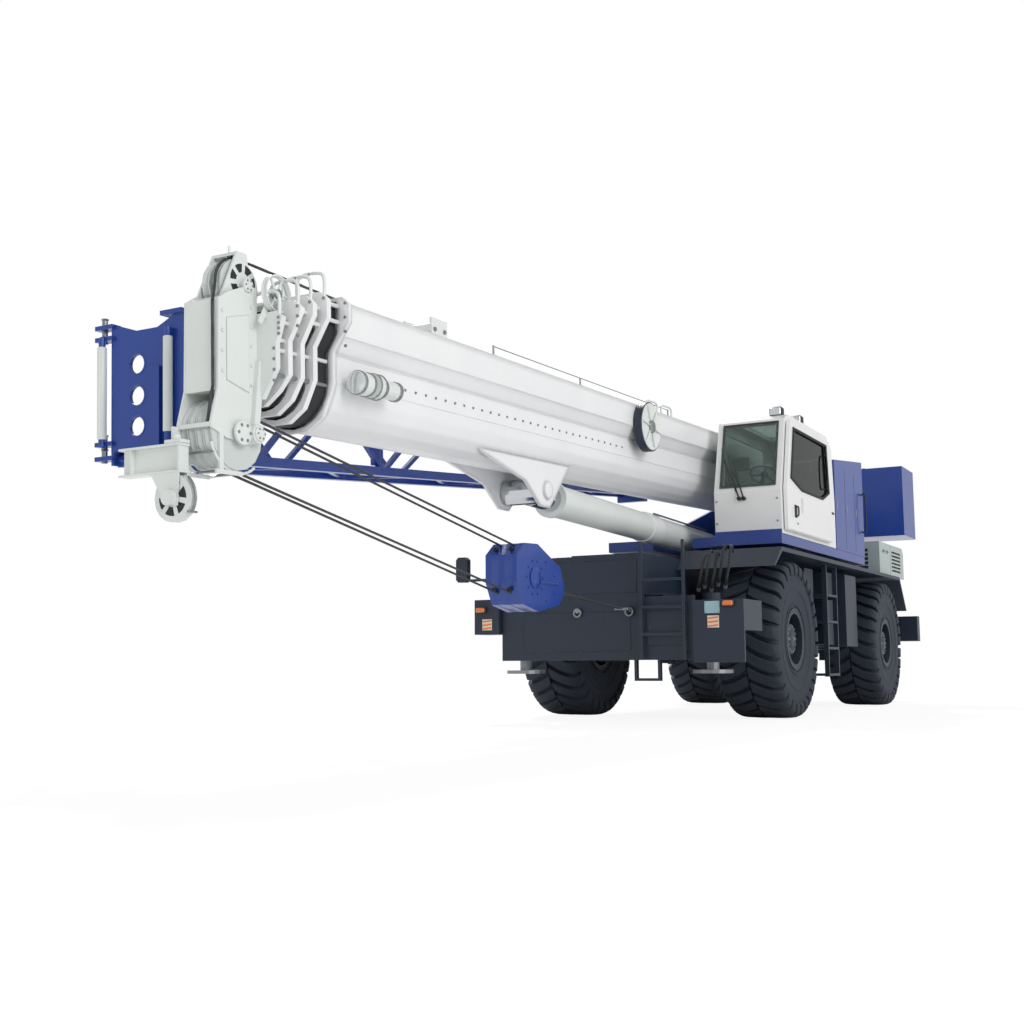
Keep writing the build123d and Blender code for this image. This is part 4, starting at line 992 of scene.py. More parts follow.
@dataclass
class Tyre:
    """A wide earthmover tyre: a turned carcass and two rows of curved lugs."""

    half: float = 0.3745
    bead: float = 0.356
    lugs: int = 29
    lug_share: float = 0.76
    sweep: float = 0.17

    def carcass(self) -> Solid:
        """The casing: its section turned about the axle as a closed loop, with rings moulded on the walls.

        Returns:
            The casing about the origin.
        """
        wall = [(0.300, self.bead), (0.322, 0.372), (0.326, 0.400), (0.338, 0.404), (0.340, 0.424),
                (0.331, 0.430), (0.336, 0.520), (0.346, 0.585), (0.352, 0.590), (0.353, 0.612),
                (0.348, 0.618), (0.355, 0.700), (0.350, 0.760), (0.336, 0.812), (0.306, 0.850),
                (0.250, 0.869), (0.150, 0.876), (0.060, 0.878)]
        right = [(-y, r) for y, r in reversed(wall)]
        rows = wall + right + [(-0.2, self.bead), (0.0, self.bead), (0.2, self.bead)]
        return lathe(rows, (0, 0, 0), Y_AXIS, 4 * self.lugs, loop=True)

    def tread(self) -> Solid:
        """The lugs of the left half, whose angle lags by sweep * (1 - y / half) ** 1.7 at each station of y.

        A lug's width is a share of the pitch, and its top falls off over the shoulder. The first lug is then
        turned about the axle by each multiple of the pitch.

        Returns:
            All the lugs on the side where y is above zero.
        """
        y = np.array([0.010, 0.050, 0.110, 0.180, 0.250, 0.305, 0.342, 0.362, 0.3722, 0.3742])
        top = np.array([0.9392, 0.9392, 0.9388, 0.9380, 0.9350, 0.9280, 0.9120, 0.8900, 0.8520, 0.7900])
        root = np.array([0.868, 0.868, 0.866, 0.862, 0.850, 0.830, 0.800, 0.775, 0.755, 0.740])
        depth = np.array([0.0, 0.0, 0.0, 0.0, 0.0, 0.0, 0.004, 0.012, 0.030, 0.045])
        angle = -self.sweep * (1.0 - y / self.half) ** 1.7
        pitch = 2.0 * math.pi / self.lugs
        half = 0.5 * self.lug_share * pitch * np.linspace(0.94, 1.0, len(y))
        corners = ((-1.0, 0), (-0.93, 1), (-0.84, 2), (0.84, 2), (0.93, 1), (1.0, 0))
        rings = []
        for share, level in corners:
            r = (root, top - 0.006, top)[level]
            a = angle + half * share
            across = y - depth if level == 0 else y
            rings.append(np.stack([r * np.sin(a), across, r * np.cos(a)], 1))
        one = skin(np.stack(rings, 1))
        lugs = copies(one, np.zeros((self.lugs, 3)))
        turns = np.repeat(np.arange(self.lugs) * pitch, len(one.points))
        return Solid(rolled(lugs.points, turns), lugs.quads, lugs.caps)

    def build(self, corner: str) -> None:
        """One wheel's tyre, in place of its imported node.

        Args:
            corner: which wheel.
        """
        sx, sy = CORNERS[corner]
        left = self.tread()
        right = left.mirrored().mapped(lambda p: rolled(p, math.pi / self.lugs))
        place = (sx * WHEEL_X, sy * WHEEL_Y, HUB_Z)
        piece = Piece("tyre_lugged_" + corner, "wheel_" + corner, "tyre")
        for solid in (self.carcass(), left, right):
            piece.add(RUBBER, solid.moved(place))
        piece.make("tyre_" + corner, smooth=40.0)


@dataclass
class Rim:
    """What is bolted to a wheel: flange rings, wheel nuts, the hub's cover and the valve."""

    nuts: int = 24
    nut_circle: float = 0.252
    cover_bolts: int = 14
    cover_circle: float = 0.152

    def build(self, corner: str) -> None:
        """One wheel's fittings on both faces of its rim.

        Args:
            corner: which wheel.
        """
        sx, sy = CORNERS[corner]
        flange = [(0.285, 0.342), (0.322, 0.342), (0.334, 0.352), (0.336, 0.366), (0.326, 0.369),
                  (0.316, 0.356)]
        ring = lathe(flange, (0, 0, 0), Y_AXIS, 64, loop=True)
        cone = [(0.06, 0.296), (0.10, 0.288), (0.104, 0.272), (0.064, 0.262)]
        nuts, heads = full_turn(self.nuts), full_turn(self.cover_bolts)
        stud = bar((0, 0.06, 0), (0, 0.098, 0), 0.008, 8)
        cover = [(0.266, 0.182), (0.275, 0.186), (0.283, 0.178), (0.285, 0.120), (0.292, 0.110),
                 (0.302, 0.088), (0.304, 0.060)]
        collar = [(0.058, 0.205), (0.090, 0.205), (0.094, 0.198), (0.150, 0.193)]
        valve = spline([(0.285, 0.055, 0.0), (0.290, 0.10, 0.0), (0.30, 0.13, 0.0)], 4)
        place = (sx * WHEEL_X, sy * WHEEL_Y, HUB_Z)
        piece = Piece("wheel_fittings_" + corner, "wheel_" + corner, "rim_paint")
        solids = (
            (RIM_SLATE, ring), (RIM_SLATE, ring.mirrored()),
            (RIM_SLATE, lathe(cone, (0, 0, 0), Y_AXIS, 48, loop=True)),
            (STEEL, bolt_heads(around((0, 0.060, 0), self.nut_circle, nuts), Y_AXIS, 0.016, 0.026)),
            (STEEL, copies(stud, around((0, 0, 0), self.nut_circle, nuts))),
            (RIM_SLATE, lathe(cover, (0, 0, 0), Y_AXIS, 40)),
            (STEEL, bolt_heads(around((0, 0.284, 0), self.cover_circle, heads), Y_AXIS, 0.010, 0.010)),
            (RIM_SLATE, lathe(collar, (0, 0, 0), Y_AXIS, 40)),
            (STEEL, bolt_heads([(0.0, 0.303, 0.0), (0.118, 0.285, 0.0)], Y_AXIS, 0.018, 0.014)),
            (BLACK, pipe(valve, 0.006, 8)))
        for finish, solid in solids:
            outside = solid if sy > 0 else solid.mirrored()
            piece.add(finish, outside.moved(place))
        piece.make()


@dataclass
class FrontEnd:
    """What is fitted to the carrier's nose and decks: lids, tow rings, hoses, treads and the hook's sling."""

    face: float = 4.38
    lid: float = 0.012
    thick_lid: float = 0.014
    deck: float = 2.010
    ring_x: float = 4.416
    ring_z: float = 1.235
    ring_radius: float = 0.042
    ring_round: float = 0.012

    def build(self) -> None:
        """The fixed fittings of the nose and the deck, and the sling."""
        piece = Piece("nose_fittings", "carrier", "carrier_paint")
        self.lids(piece)
        self.tow_rings(piece)
        self.hoses(piece)
        self.deck_treads(piece)
        piece.make()
        self.sling()

    def lids(self, piece: Piece) -> None:
        """Three lids on the nose, as plates on its face, of which the lower two are bolted.

        Args:
            piece: what they are added to.
        """
        small = [(0.52, 1.24), (0.97, 1.24), (0.97, 0.86), (0.52, 0.86)]
        piece.add(SLATE, board(small, Across.X, self.face, self.face + self.thick_lid, 0.006))
        low = [(-1.02, 1.24), (0.32, 1.24), (0.32, 0.80), (-1.02, 0.80)]
        piece.add(SLATE, board(low, Across.X, self.face, self.face + self.lid, 0.006))
        y = np.linspace(-0.95, 0.25, 7)
        rows = [(self.face + self.lid, float(v), z) for v in y for z in (0.84, 1.20)]
        rows += [(self.face + self.thick_lid, v, z) for v in (0.56, 0.93) for z in (0.90, 1.05, 1.20)]
        piece.add(SLATE, bolt_heads(rows, X_AXIS, 0.011))
        high = [(-1.02, 1.82), (0.40, 1.82), (0.40, 1.45), (-1.02, 1.45)]
        piece.add(SLATE, board(high, Across.X, self.face, self.face + self.lid, 0.006))

    def tow_rings(self, piece: Piece) -> None:
        """Two tow rings and the bosses that they hang from.

        Args:
            piece: what they are added to.
        """
        boss = [(0.0, 0.030), (0.03, 0.030), (0.034, 0.024)]
        for side in (-0.32, 0.32):
            piece.add(STEEL, lathe(boss, (self.face + self.lid, side, 1.26), X_AXIS, 20))
            piece.add(STEEL, skin(np.stack([self.ring_at(a, side) for a in full_turn(24)]), True))

    def ring_at(self, angle: float, side: float) -> Array:
        """A round of the tow ring: r = ring_radius + ring_round * cos t, carried round at an angle.

        Args:
            angle: where on the ring.
            side: the ring's place across the nose.

        Returns:
            The points round it.
        """
        t = full_turn(8)
        r = self.ring_radius + self.ring_round * np.cos(t)
        return np.stack([self.ring_x + self.ring_round * np.sin(t), side + r * math.cos(angle),
                         self.ring_z + r * math.sin(angle)], 1)

    @staticmethod
    def hoses(piece: Piece) -> None:
        """Five hydraulic hoses that rise from their fittings and bend back under the deck.

        Args:
            piece: what they are added to.
        """
        for k, (y, z) in enumerate(((1.10, 1.47), (1.17, 1.50), (1.25, 1.46), (1.33, 1.52), (1.41, 1.49))):
            run = [(4.16, y - 0.05, z), (4.22, y - 0.01, z + 0.10), (4.21, y + 0.02, z + 0.26),
                   (4.10, y + 0.01, z + 0.37 + 0.02 * k), (3.96, y - 0.02, z + 0.40)]
            piece.add(SEAL, pipe(spline(run), 0.016, 12))
            nut = [(-0.02, 0.021), (0.02, 0.021), (0.021, 0.017)]
            piece.add(STEEL, lathe(nut, run[0], (0.5, 0.3, 0.8), 6))

    def deck_treads(self, piece: Piece) -> None:
        """Raised bars on the front and rear decks, in rows; on the front deck every other row is shifted
        along.

        Args:
            piece: what they are added to.
        """
        along, between, shift, rear = 0.16, 0.075, 0.04, 4.9
        one = slab((0.0, -0.012, 0.0), (0.085, 0.012, 0.0035), 0.0015)
        x, y = np.meshgrid(np.arange(2.36, 2.88, along), np.arange(0.70, 1.60, between), indexing="ij")
        level = np.full_like(x, self.deck)
        places = np.stack([x + shift * (np.round(y / between) % 2), y, level], -1).reshape(-1, 3)
        piece.both(SLATE, copies(one, places))
        places = np.stack([x - rear, y, level], -1).reshape(-1, 3)
        piece.both(SLATE, copies(one, places[places[:, 1] < 1.58]))

    def sling(self) -> None:
        """The wire sling that holds the hook block down to the nose, with its shackle and lug."""
        piece = Piece("hook_tie_sling", "carrier", "wire_rope")
        for hook_y, pin_y in ((0.045, 0.30), (-0.045, 0.34)):
            piece.add(ROPE, wire_rope((5.50, hook_y, 1.402), (4.60, pin_y, 1.262), 0.011))
        piece.add(STEEL, bar((4.62, 0.24, 1.26), (4.62, 0.40, 1.26), 0.014))
        bow = [(4.62, 0.265, 1.26), (4.50, 0.262, 1.256), (4.445, 0.32, 1.252), (4.50, 0.378, 1.256),
               (4.62, 0.375, 1.26)]
        piece.add(STEEL, pipe(spline(bow), 0.013, 12))
        lug = [(self.face, 1.30), (4.47, 1.275), (4.47, 1.228), (self.face, 1.20)]
        piece.add(SLATE, board(lug, Across.Y, 0.31, 0.33))
        piece.make()


@dataclass
class JackFront:
    """What is fitted to a front outrigger's end box: a blank plate, a striped reflector and a lamp."""

    face: float = 4.45
    stripes: int = 3
    lamp_z: float = 1.262

    def build(self, corner: str) -> None:
        """The fittings of one front box, on the beam that carries it.

        Args:
            corner: which box.
        """
        left = corner == "fl"
        x = self.face
        piece = Piece("jack_box_fittings_" + corner, "outrigger_" + corner, "head_paint")
        y, z = (1.24, 1.04) if left else (-1.56, 1.06)
        square = [(y + 0.01, z), (y + 0.14, z), (y + 0.14, z + 0.13), (y + 0.01, z + 0.13)]
        piece.add(CREAM, board(square, Across.X, x, x + 0.006, 0.003))
        for k in range(self.stripes):
            low = z + 0.006 + 0.042 * k
            stripe = [(y + 0.016, low), (y + 0.134, low + 0.012), (y + 0.134, low + 0.032),
                      (y + 0.016, low + 0.02)]
            piece.add(AMBER, board(stripe, Across.X, x + 0.005, x + 0.008, 0.001))
        if left:
            plate = [(1.22, 1.195), (1.39, 1.195), (1.39, 1.325), (1.22, 1.325)]
            piece.add(BLANK, board(plate, Across.X, x, x + 0.004, 0.002))
            screws = [(x + 0.004, v, w) for v in (1.232, 1.378) for w in (1.207, 1.313)]
            piece.add(STEEL, bolt_heads(screws, X_AXIS, 0.005, 0.004))
        y, z = 1.43 if left else -1.62, self.lamp_z
        piece.add(BLACK, slab((x, y, z), (x + 0.03, y + 0.13, z + 0.07), 0.008))
        piece.add(AMBER, slab((x + 0.028, y + 0.008, z + 0.008), (x + 0.062, y + 0.122, z + 0.062), 0.014))
        piece.make()


@dataclass
class Cab:
    """The cab's seals, wipers, lamps, handles and furniture."""

    door_face: float = 1.507
    screen_foot: float = 2.79
    screen_lean: float = 0.269
    floor: float = 2.293
    wheel_at: tuple[float, float, float] = (1.585, 1.025, 3.085)
    column: tuple[float, float, float] = (-0.5, 0.0, 0.8)

    def build(self) -> None:
        """Everything on the cab and its door."""
        self.shell()
        self.door()
        self.furniture()
        self.cushions()

    def shell(self) -> None:
        """Lamps and a seal on the roof, the screen's seal and wipers, bolts, and the door's rail and lock."""
        piece = Piece("cab_fittings", "superstructure", "black_plastic")
        for x, z in ((1.86, 3.835), (0.97, 3.872)):
            piece.add(BLACK, bar((x, 1.30, 3.76), (x, 1.30, z), 0.02))
            piece.add(BLACK, slab((x - 0.07, 1.215, z - 0.055), (x + 0.045, 1.385, z + 0.07), 0.022))
            piece.add(CLEAR, slab((x + 0.04, 1.232, z - 0.038), (x + 0.058, 1.368, z + 0.053), 0.008))
        screen = [(0.672, 2.862), (1.372, 2.862), (1.372, 3.678), (0.672, 3.678)]
        seal = gasket(screen, Across.X, 2.285, 0.018)
        piece.add(SEAL, seal.mapped(self.leaned))
        for foot_y, tip_y, tip_z in ((0.92, 0.71, 3.18), (0.98, 0.79, 3.09)):
            foot, mid, tip = (2.297, foot_y, 2.70), (2.305, foot_y - 0.07, 2.90), (2.300, tip_y, tip_z)
            piece.add(BLACK, lathe([(-0.012, 0.026), (0.022, 0.026), (0.03, 0.018)], foot, (1, 0, 0.1), 16))
            piece.add(BLACK, pipe(spline([foot, mid, tip]), 0.009, 8).mapped(self.leaned))
            blade = [(2.290, tip_y + 0.09, tip_z - 0.30), (2.291, tip_y, tip_z),
                     (2.290, tip_y - 0.05, tip_z + 0.20)]
            piece.add(SEAL, pipe(spline(blade), 0.012, 6).mapped(self.leaned))
        bolts = [(2.288, 0.62, 2.68), (2.288, 1.40, 2.68), (2.284, 0.62, 2.40), (2.284, 1.40, 2.40)]
        piece.add(STEEL, bolt_heads(bolts, X_AXIS, 0.011, 0.008))
        rail = [(-0.23, 2.715), (0.10, 2.715), (0.10, 2.745), (-0.23, 2.745)]
        piece.add(BLACK, board(rail, Across.Y, 1.448, 1.4565, 0.002))
        lock = [(-0.003, 0.042), (0.004, 0.042), (0.0065, 0.034)]
        piece.add(BLACK, lathe(lock, (0.0, 1.45, 2.58), Y_AXIS, 24))
        roof = [(0.33, 0.73), (1.52, 0.73), (1.52, 1.31), (0.33, 1.31)]
        piece.add(SEAL, gasket(roof, Across.Z, 3.792, 0.012))
        piece.make()

    def leaned(self, points: Array) -> Array:
        """Points leaned back with the screen: x falls by screen_lean for each metre above screen_foot."""
        back = self.screen_lean * np.maximum(points[:, 2] - self.screen_foot, 0.0)
        return points - back[:, None] * X_AXIS

    def door(self) -> None:
        """The sliding door's seal, handle, lock, lower lip and grab bar."""
        face = self.door_face
        piece = Piece("cab_door_fittings", "door", "black_plastic")
        window = [(0.25, 2.96), (0.56, 2.85), (1.56, 2.85), (2.03, 2.96), (1.86, 3.61), (0.33, 3.61)]
        piece.add(SEAL, gasket(window, Across.Y, face + 0.002, 0.019))
        recess = [(1.795, 2.47), (1.905, 2.47), (1.905, 2.63), (1.795, 2.63)]
        piece.add(BLACK, board(recess, Across.Y, face - 0.002, face + 0.006, 0.006))
        grip = [(1.85, face + 0.002, 2.49), (1.85, face + 0.034, 2.50), (1.85, face + 0.034, 2.60),
                (1.85, face + 0.002, 2.61)]
        piece.add(BLACK, pipe(spline(grip, 5), 0.010, 10))
        lock = [(-0.004, 0.018), (0.006, 0.018), (0.010, 0.013)]
        piece.add(STEEL, lathe(lock, (1.78, face, 2.40), Y_AXIS, 20))
        lip = [(0.13, 2.296), (2.18, 2.296), (2.18, 2.318), (0.13, 2.318)]
        piece.add(CAB_WHITE, board(lip, Across.Y, face - 0.002, face + 0.010))
        grab = [(0.40, face - 0.012, 3.0), (0.40, face + 0.03, 3.04), (0.40, face + 0.03, 3.42),
                (0.40, face - 0.012, 3.46)]
        piece.add(BLACK, pipe(spline(grab, 6), 0.011, 10))
        piece.make()

    def furniture(self) -> None:
        """Dash, steering wheel, consoles, seat stand and display, in place of the plain ones."""
        piece = Piece("cab_furniture", "superstructure", "black_plastic")
        self.dash(piece)
        self.consoles(piece)
        self.seat_stand(piece)
        piece.add(BLACK, bar((1.90, 0.80, 2.85), (1.92, 0.76, 3.12), 0.014))
        piece.add(BLACK, slab((1.90, 0.70, 3.10), (1.945, 0.94, 3.28), 0.012))
        piece.make("cab_interior")

    def dash(self, piece: Piece) -> None:
        """The dash with its panel, and the column with the steering wheel's ring, hub and three spokes.

        Args:
            piece: what they are added to.
        """
        dash = [(1.65, self.floor), (2.15, self.floor), (2.15, 2.70), (2.06, 2.78), (1.80, 2.88),
                (1.65, 2.86)]
        piece.add(BLACK, board(dash, Across.Y, 0.68, 1.36, 0.02))
        panel = [(1.645, 2.60), (1.645, 2.84), (1.77, 2.865), (1.78, 2.60)]
        piece.add(SLATE, board(panel, Across.Y, 0.74, 1.30, 0.01))
        piece.add(BLACK, bar((1.74, 1.025, 2.84), (1.60, 1.025, 3.06), 0.028))
        ring = [(-0.014, 0.176), (0.0, 0.190), (0.014, 0.176), (0.0, 0.162)]
        piece.add(BLACK, lathe(ring, self.wheel_at, self.column, 40, loop=True))
        boss = [(-0.03, 0.03), (-0.01, 0.046), (0.016, 0.046), (0.024, 0.034)]
        piece.add(BLACK, lathe(boss, self.wheel_at, self.column, 20))
        _, u, v = axes_across(self.column)
        hub = np.array(self.wheel_at)
        for angle in (0.5, 2.6, 4.7):
            spoke = math.cos(angle) * u + math.sin(angle) * v
            piece.add(BLACK, bar(hub + 0.03 * spoke, hub + 0.172 * spoke, 0.011))

    def consoles(self, piece: Piece) -> None:
        """The two consoles beside the seat, each with three levers and their knobs.

        Args:
            piece: what they are added to.
        """
        knob = [(-0.02, 0.008), (-0.012, 0.018), (0.008, 0.021), (0.02, 0.012)]
        for y in (0.655, 1.305):
            piece.add(BLACK, slab((0.42, y, self.floor), (1.25, y + 0.09, 2.80), 0.018))
            piece.add(SLATE, slab((0.50, y + 0.008, 2.79), (1.20, y + 0.082, 2.83), 0.01))
            for x in (0.98, 1.08, 1.17):
                piece.add(BLACK, bar((x, y + 0.045, 2.82), (x + 0.02, y + 0.045, 2.93), 0.007))
                piece.add(BLACK, lathe(knob, (x + 0.022, y + 0.045, 2.945), Z_AXIS, 14))

    def seat_stand(self, piece: Piece, folds: int = 5) -> None:
        """The seat's foot, its bellows, its pan and the board behind its back.

        Args:
            piece: what they are added to.
            folds: how many folds the bellows have.
        """
        piece.add(BLACK, slab((0.36, 0.83, self.floor), (0.89, 1.21, 2.40), 0.02))
        for k in range(folds):
            low = 2.40 + 0.028 * k
            piece.add(SEAL, slab((0.40 + 0.008 * (k % 2), 0.86, low), (0.85, 1.18, low + 0.026), 0.01))
        piece.add(BLACK, slab((0.34, 0.79, 2.54), (0.92, 1.25, 2.58), 0.012))
        back = [(0.25, 2.62), (0.29, 2.62), (0.245, 3.42), (0.205, 3.42)]
        piece.add(BLACK, board(back, Across.Y, 0.80, 1.25, 0.012))

    def cushions(self) -> None:
        """Seat and back cushions: crowned pads with sewn channels, whose sides draw in."""
        seat = Piece("seat_cushion", "superstructure", "black_plastic")
        seat.add(SEAT, self.pad((0.34, 0.78, 2.575), (0.91, 1.26, 2.695), Across.Z))
        seat.make(smooth=60.0)
        back = Piece("seat_back_cushion", "superstructure", "black_plastic")
        pad = self.pad((0.30, 0.80, 2.72), (0.385, 1.25, 3.42), Across.X)
        lean = pad.mapped(lambda p: np.stack([p[:, 0] - 0.10 * (p[:, 2] - 2.72), p[:, 1], p[:, 2]], 1))
        back.add(SEAT, lean)
        back.make(smooth=60.0)

    @staticmethod
    def pad(low: Triple, high: Triple, across: Across) -> Solid:
        """A pad on a grid of (a, b) from -1 to 1, whose two faces share their rim.

        Both faces rise as the square root of (1 - a^4)(1 - b^4). The upper one falls by a share of that in a
        narrow bell about each channel, and the rim draws in by a share at the middle of each side.

        Args:
            low: the corner of its box with the lowest x, y and z.
            high: the opposite corner.
            across: the axis of its thickness.

        Returns:
            The pad.
        """
        count, draw_in, groove, groove_width, lower_share = 41, 0.03, 0.16, 0.05, 0.92
        a, b = np.meshgrid(np.linspace(-1, 1, count), np.linspace(-1, 1, count), indexing="ij")
        crown = np.sqrt(np.clip((1.0 - a**4) * (1.0 - b**4), 0.0, 1.0))
        channels = sum(np.exp(-((b - place) / groove_width) ** 2) for place in (-0.5, 0.0, 0.5))
        rise = crown * (1.0 - groove * np.clip(channels, 0, 1))
        mid, half = (np.asarray(high) + low) / 2.0, (np.asarray(high) - low) / 2.0
        first, second = [i for i in range(3) if i != across.value]
        top = np.zeros((count, count, 3))
        top[..., first] = mid[first] + half[first] * a * (1.0 - draw_in * (1.0 - b**2) * np.abs(a))
        top[..., second] = mid[second] + half[second] * b * (1.0 - draw_in * (1.0 - a**2) * np.abs(b))
        below = top.copy()
        top[..., across.value] = mid[across.value] + half[across.value] * rise
        below[..., across.value] = mid[across.value] - half[across.value] * crown * lower_share
        index = np.arange(count * count).reshape(count, count)
        rim = np.zeros((count, count), bool)
        rim[0], rim[-1], rim[:, 0], rim[:, -1] = True, True, True, True
        under = np.where(rim, index, index + count * count)
        cells = []
        for grid, flip in ((index, False), (under, True)):
            quad = np.stack([grid[:-1, :-1], grid[1:, :-1], grid[1:, 1:], grid[:-1, 1:]], -1).reshape(-1, 4)
            cells.append(quad[:, ::-1] if flip else quad)
        points = np.concatenate([top.reshape(-1, 3), below.reshape(-1, 3)])
        used, compact = np.unique(np.concatenate(cells), return_inverse=True)
        return Solid(points[used], compact.reshape(-1, 4)).outward()


@dataclass
class BoomBase:
    """Seams, bolts, the hoist rope, posts, the hose reel and the lamps of the boom's base section."""

    post_y: float = 0.395
    flank: float = BOOM_HALF + 0.001
    low_flank: float = BOOM_HALF - 0.084
    rope_level: float = 0.549
    reel_at: tuple[float, float, float] = (6.08, 0.0, 0.23)
    lamp_at: tuple[float, float, float] = (11.715, 0.485, -0.13)

    def build(self) -> None:
        """Everything on the base section."""
        self.trim()
        self.reel()
        self.ropes()
        self.lamps()

    def trim(self) -> None:
        """Weld seams, a row of bolts on each flank, posts with their wires, and straps across the top."""
        piece = Piece("boom_trim", "boom", "boom_paint", on_boom)
        along = np.linspace(0.5, 11.78, 60)
        for y, z in ((self.flank, KNEE_HIGH), (self.low_flank, KNEE_LOW), (self.low_flank, BELLY_Z)):
            piece.both(WHITE, pipe(np.stack([along, np.full(60, y), np.full(60, z)], 1), 0.005, 6))
        rows = [(x, self.low_flank, -0.035 - 0.010 * (x - 6.5) / 4.5) for x in np.arange(6.5, 11.05, 0.155)]
        piece.both(STEEL, bolt_heads(rows, Y_AXIS, 0.010))
        y = self.post_y
        for x, height in ((9.45, 0.10), (7.63, 0.085), (5.2, 0.085)):
            post = bar((x, y, BOOM_TOP - 0.004), (x, y, BOOM_TOP + height), 0.009)
            foot = slab((x - 0.03, y - 0.025, BOOM_TOP - 0.002), (x + 0.03, y + 0.025, BOOM_TOP + 0.008))
            piece.both(STEEL, union([post, foot]))
        piece.both(ROPE, wire_rope((5.2, y, BOOM_TOP + 0.08), (9.45, y, BOOM_TOP + 0.09), 0.004))
        low, high = BOOM_TOP - 0.002, BOOM_TOP + 0.010
        for x in (1.6, 3.4, 5.1, 7.2, 9.0, 11.0):
            strap = [(x, low), (x + 0.07, low), (x + 0.07, high), (x, high)]
            piece.add(WHITE, board(strap, Across.Y, -0.40, 0.40, 0.003))
        piece.make()

    def reel(self) -> None:
        """The dished hose reel: rim, dish, spokes and hub, with the grab rails above it."""
        piece = Piece("hose_reel_detail", "boom", "black_plastic", on_boom)
        at = self.reel_at
        rim = [(0.515, 0.262), (0.528, 0.270), (0.530, 0.284), (0.436, 0.284), (0.434, 0.276)]
        piece.add(SLATE, lathe(rim, at, Y_AXIS, 48))
        dish = [(0.519, 0.258), (0.536, 0.270), (0.541, 0.262), (0.530, 0.225), (0.525, 0.120),
                (0.536, 0.070), (0.540, 0.030)]
        piece.add(PALE, lathe(dish, at, Y_AXIS, 48))
        piece.add(PALE, *spokes(at, (0.05, 0.545), (0.265, 0.541), 0.009, 0.2))
        hub = [(0.515, 0.075), (0.556, 0.072), (0.566, 0.058), (0.572, 0.03)]
        piece.add(STEEL, lathe(hub, at, Y_AXIS, 28))
        for x in (5.1, 5.55):
            loop = [(x, 0.40, 0.472), (x, 0.40, 0.55), (x + 0.05, 0.40, 0.585), (x + 0.27, 0.40, 0.585),
                    (x + 0.32, 0.40, 0.55), (x + 0.32, 0.40, 0.472)]
            piece.add(PALE, pipe(spline(loop, 6), 0.012, 10))
        piece.make()

    def ropes(self) -> None:
        """The hoist rope along the top of the base section, and its guides' rollers, cheeks and bolts."""
        piece = Piece("hoist_rope_on_boom", "boom", "wire_rope", on_boom)
        bend = (9.90, ROPE_Y, 0.566)
        piece.add(ROPE, wire_rope((0.5, ROPE_Y, 0.560), bend, HOIST_ROPE))
        piece.add(ROPE, wire_rope(bend, (11.78, ROPE_Y, 0.628), HOIST_ROPE))
        roller = [(-0.17, 0.02232), (-0.165, 0.02664), (0.165, 0.02664), (0.17, 0.02232)]
        low, high = BOOM_TOP - 0.003, self.rope_level + 0.012
        for x in (0.5, 3.3, 6.4):
            piece.add(NYLON, lathe(roller, (x, 0.02, self.rope_level - 0.036), Y_AXIS, 20))
            cheek = [(x - 0.05, low), (x + 0.05, low), (x + 0.03, high), (x - 0.03, high)]
            for side in (-0.165, 0.195):
                piece.add(STEEL, board(cheek, Across.Y, side, side + 0.012))
        for y, axis in ((-0.150, -Y_AXIS), (0.158, Y_AXIS)):
            piece.add(STEEL, bolt_heads([(9.90, y, 0.64), (10.06, y, 0.64)], axis, 0.016))
        piece.make()

    def lamps(self) -> None:
        """Rims of the three drums beside the base collar, and the lens of the first."""
        piece = Piece("boom_lamp_lenses", "boom", "hard_chrome", on_boom)
        front, y, z = self.lamp_at
        for start, long, r in ((-0.160, 0.150, 0.088), (-0.290, 0.090, 0.095), (-0.540, 0.251, 0.072)):
            rear = [(0.004, r + 0.001), (0.012, r + 0.008), (long * 0.16, r + 0.008),
                    (long * 0.18, r + 0.001)]
            fore = [(long * 0.8, r + 0.001), (long * 0.82, r + 0.006), (long - 0.006, r + 0.006),
                    (long - 0.002, r + 0.001)]
            for rows in (rear, fore):
                piece.add(STEEL, lathe(rows, (front + start, y, z), X_AXIS, 32))
        glass = [(0.0, 0.080), (0.008, 0.078), (0.016, 0.055), (0.019, 0.02)]
        piece.add(CLEAR, lathe(glass, (front - 0.0098, y, z), X_AXIS, 32))
        piece.make()


@dataclass(frozen=True)
class Collar:
    """One section's flared collar: its place along the boom, its reach each way and its body."""

    x: float
    half: float
    low_half: float
    top: float
    depth: float
    body: str


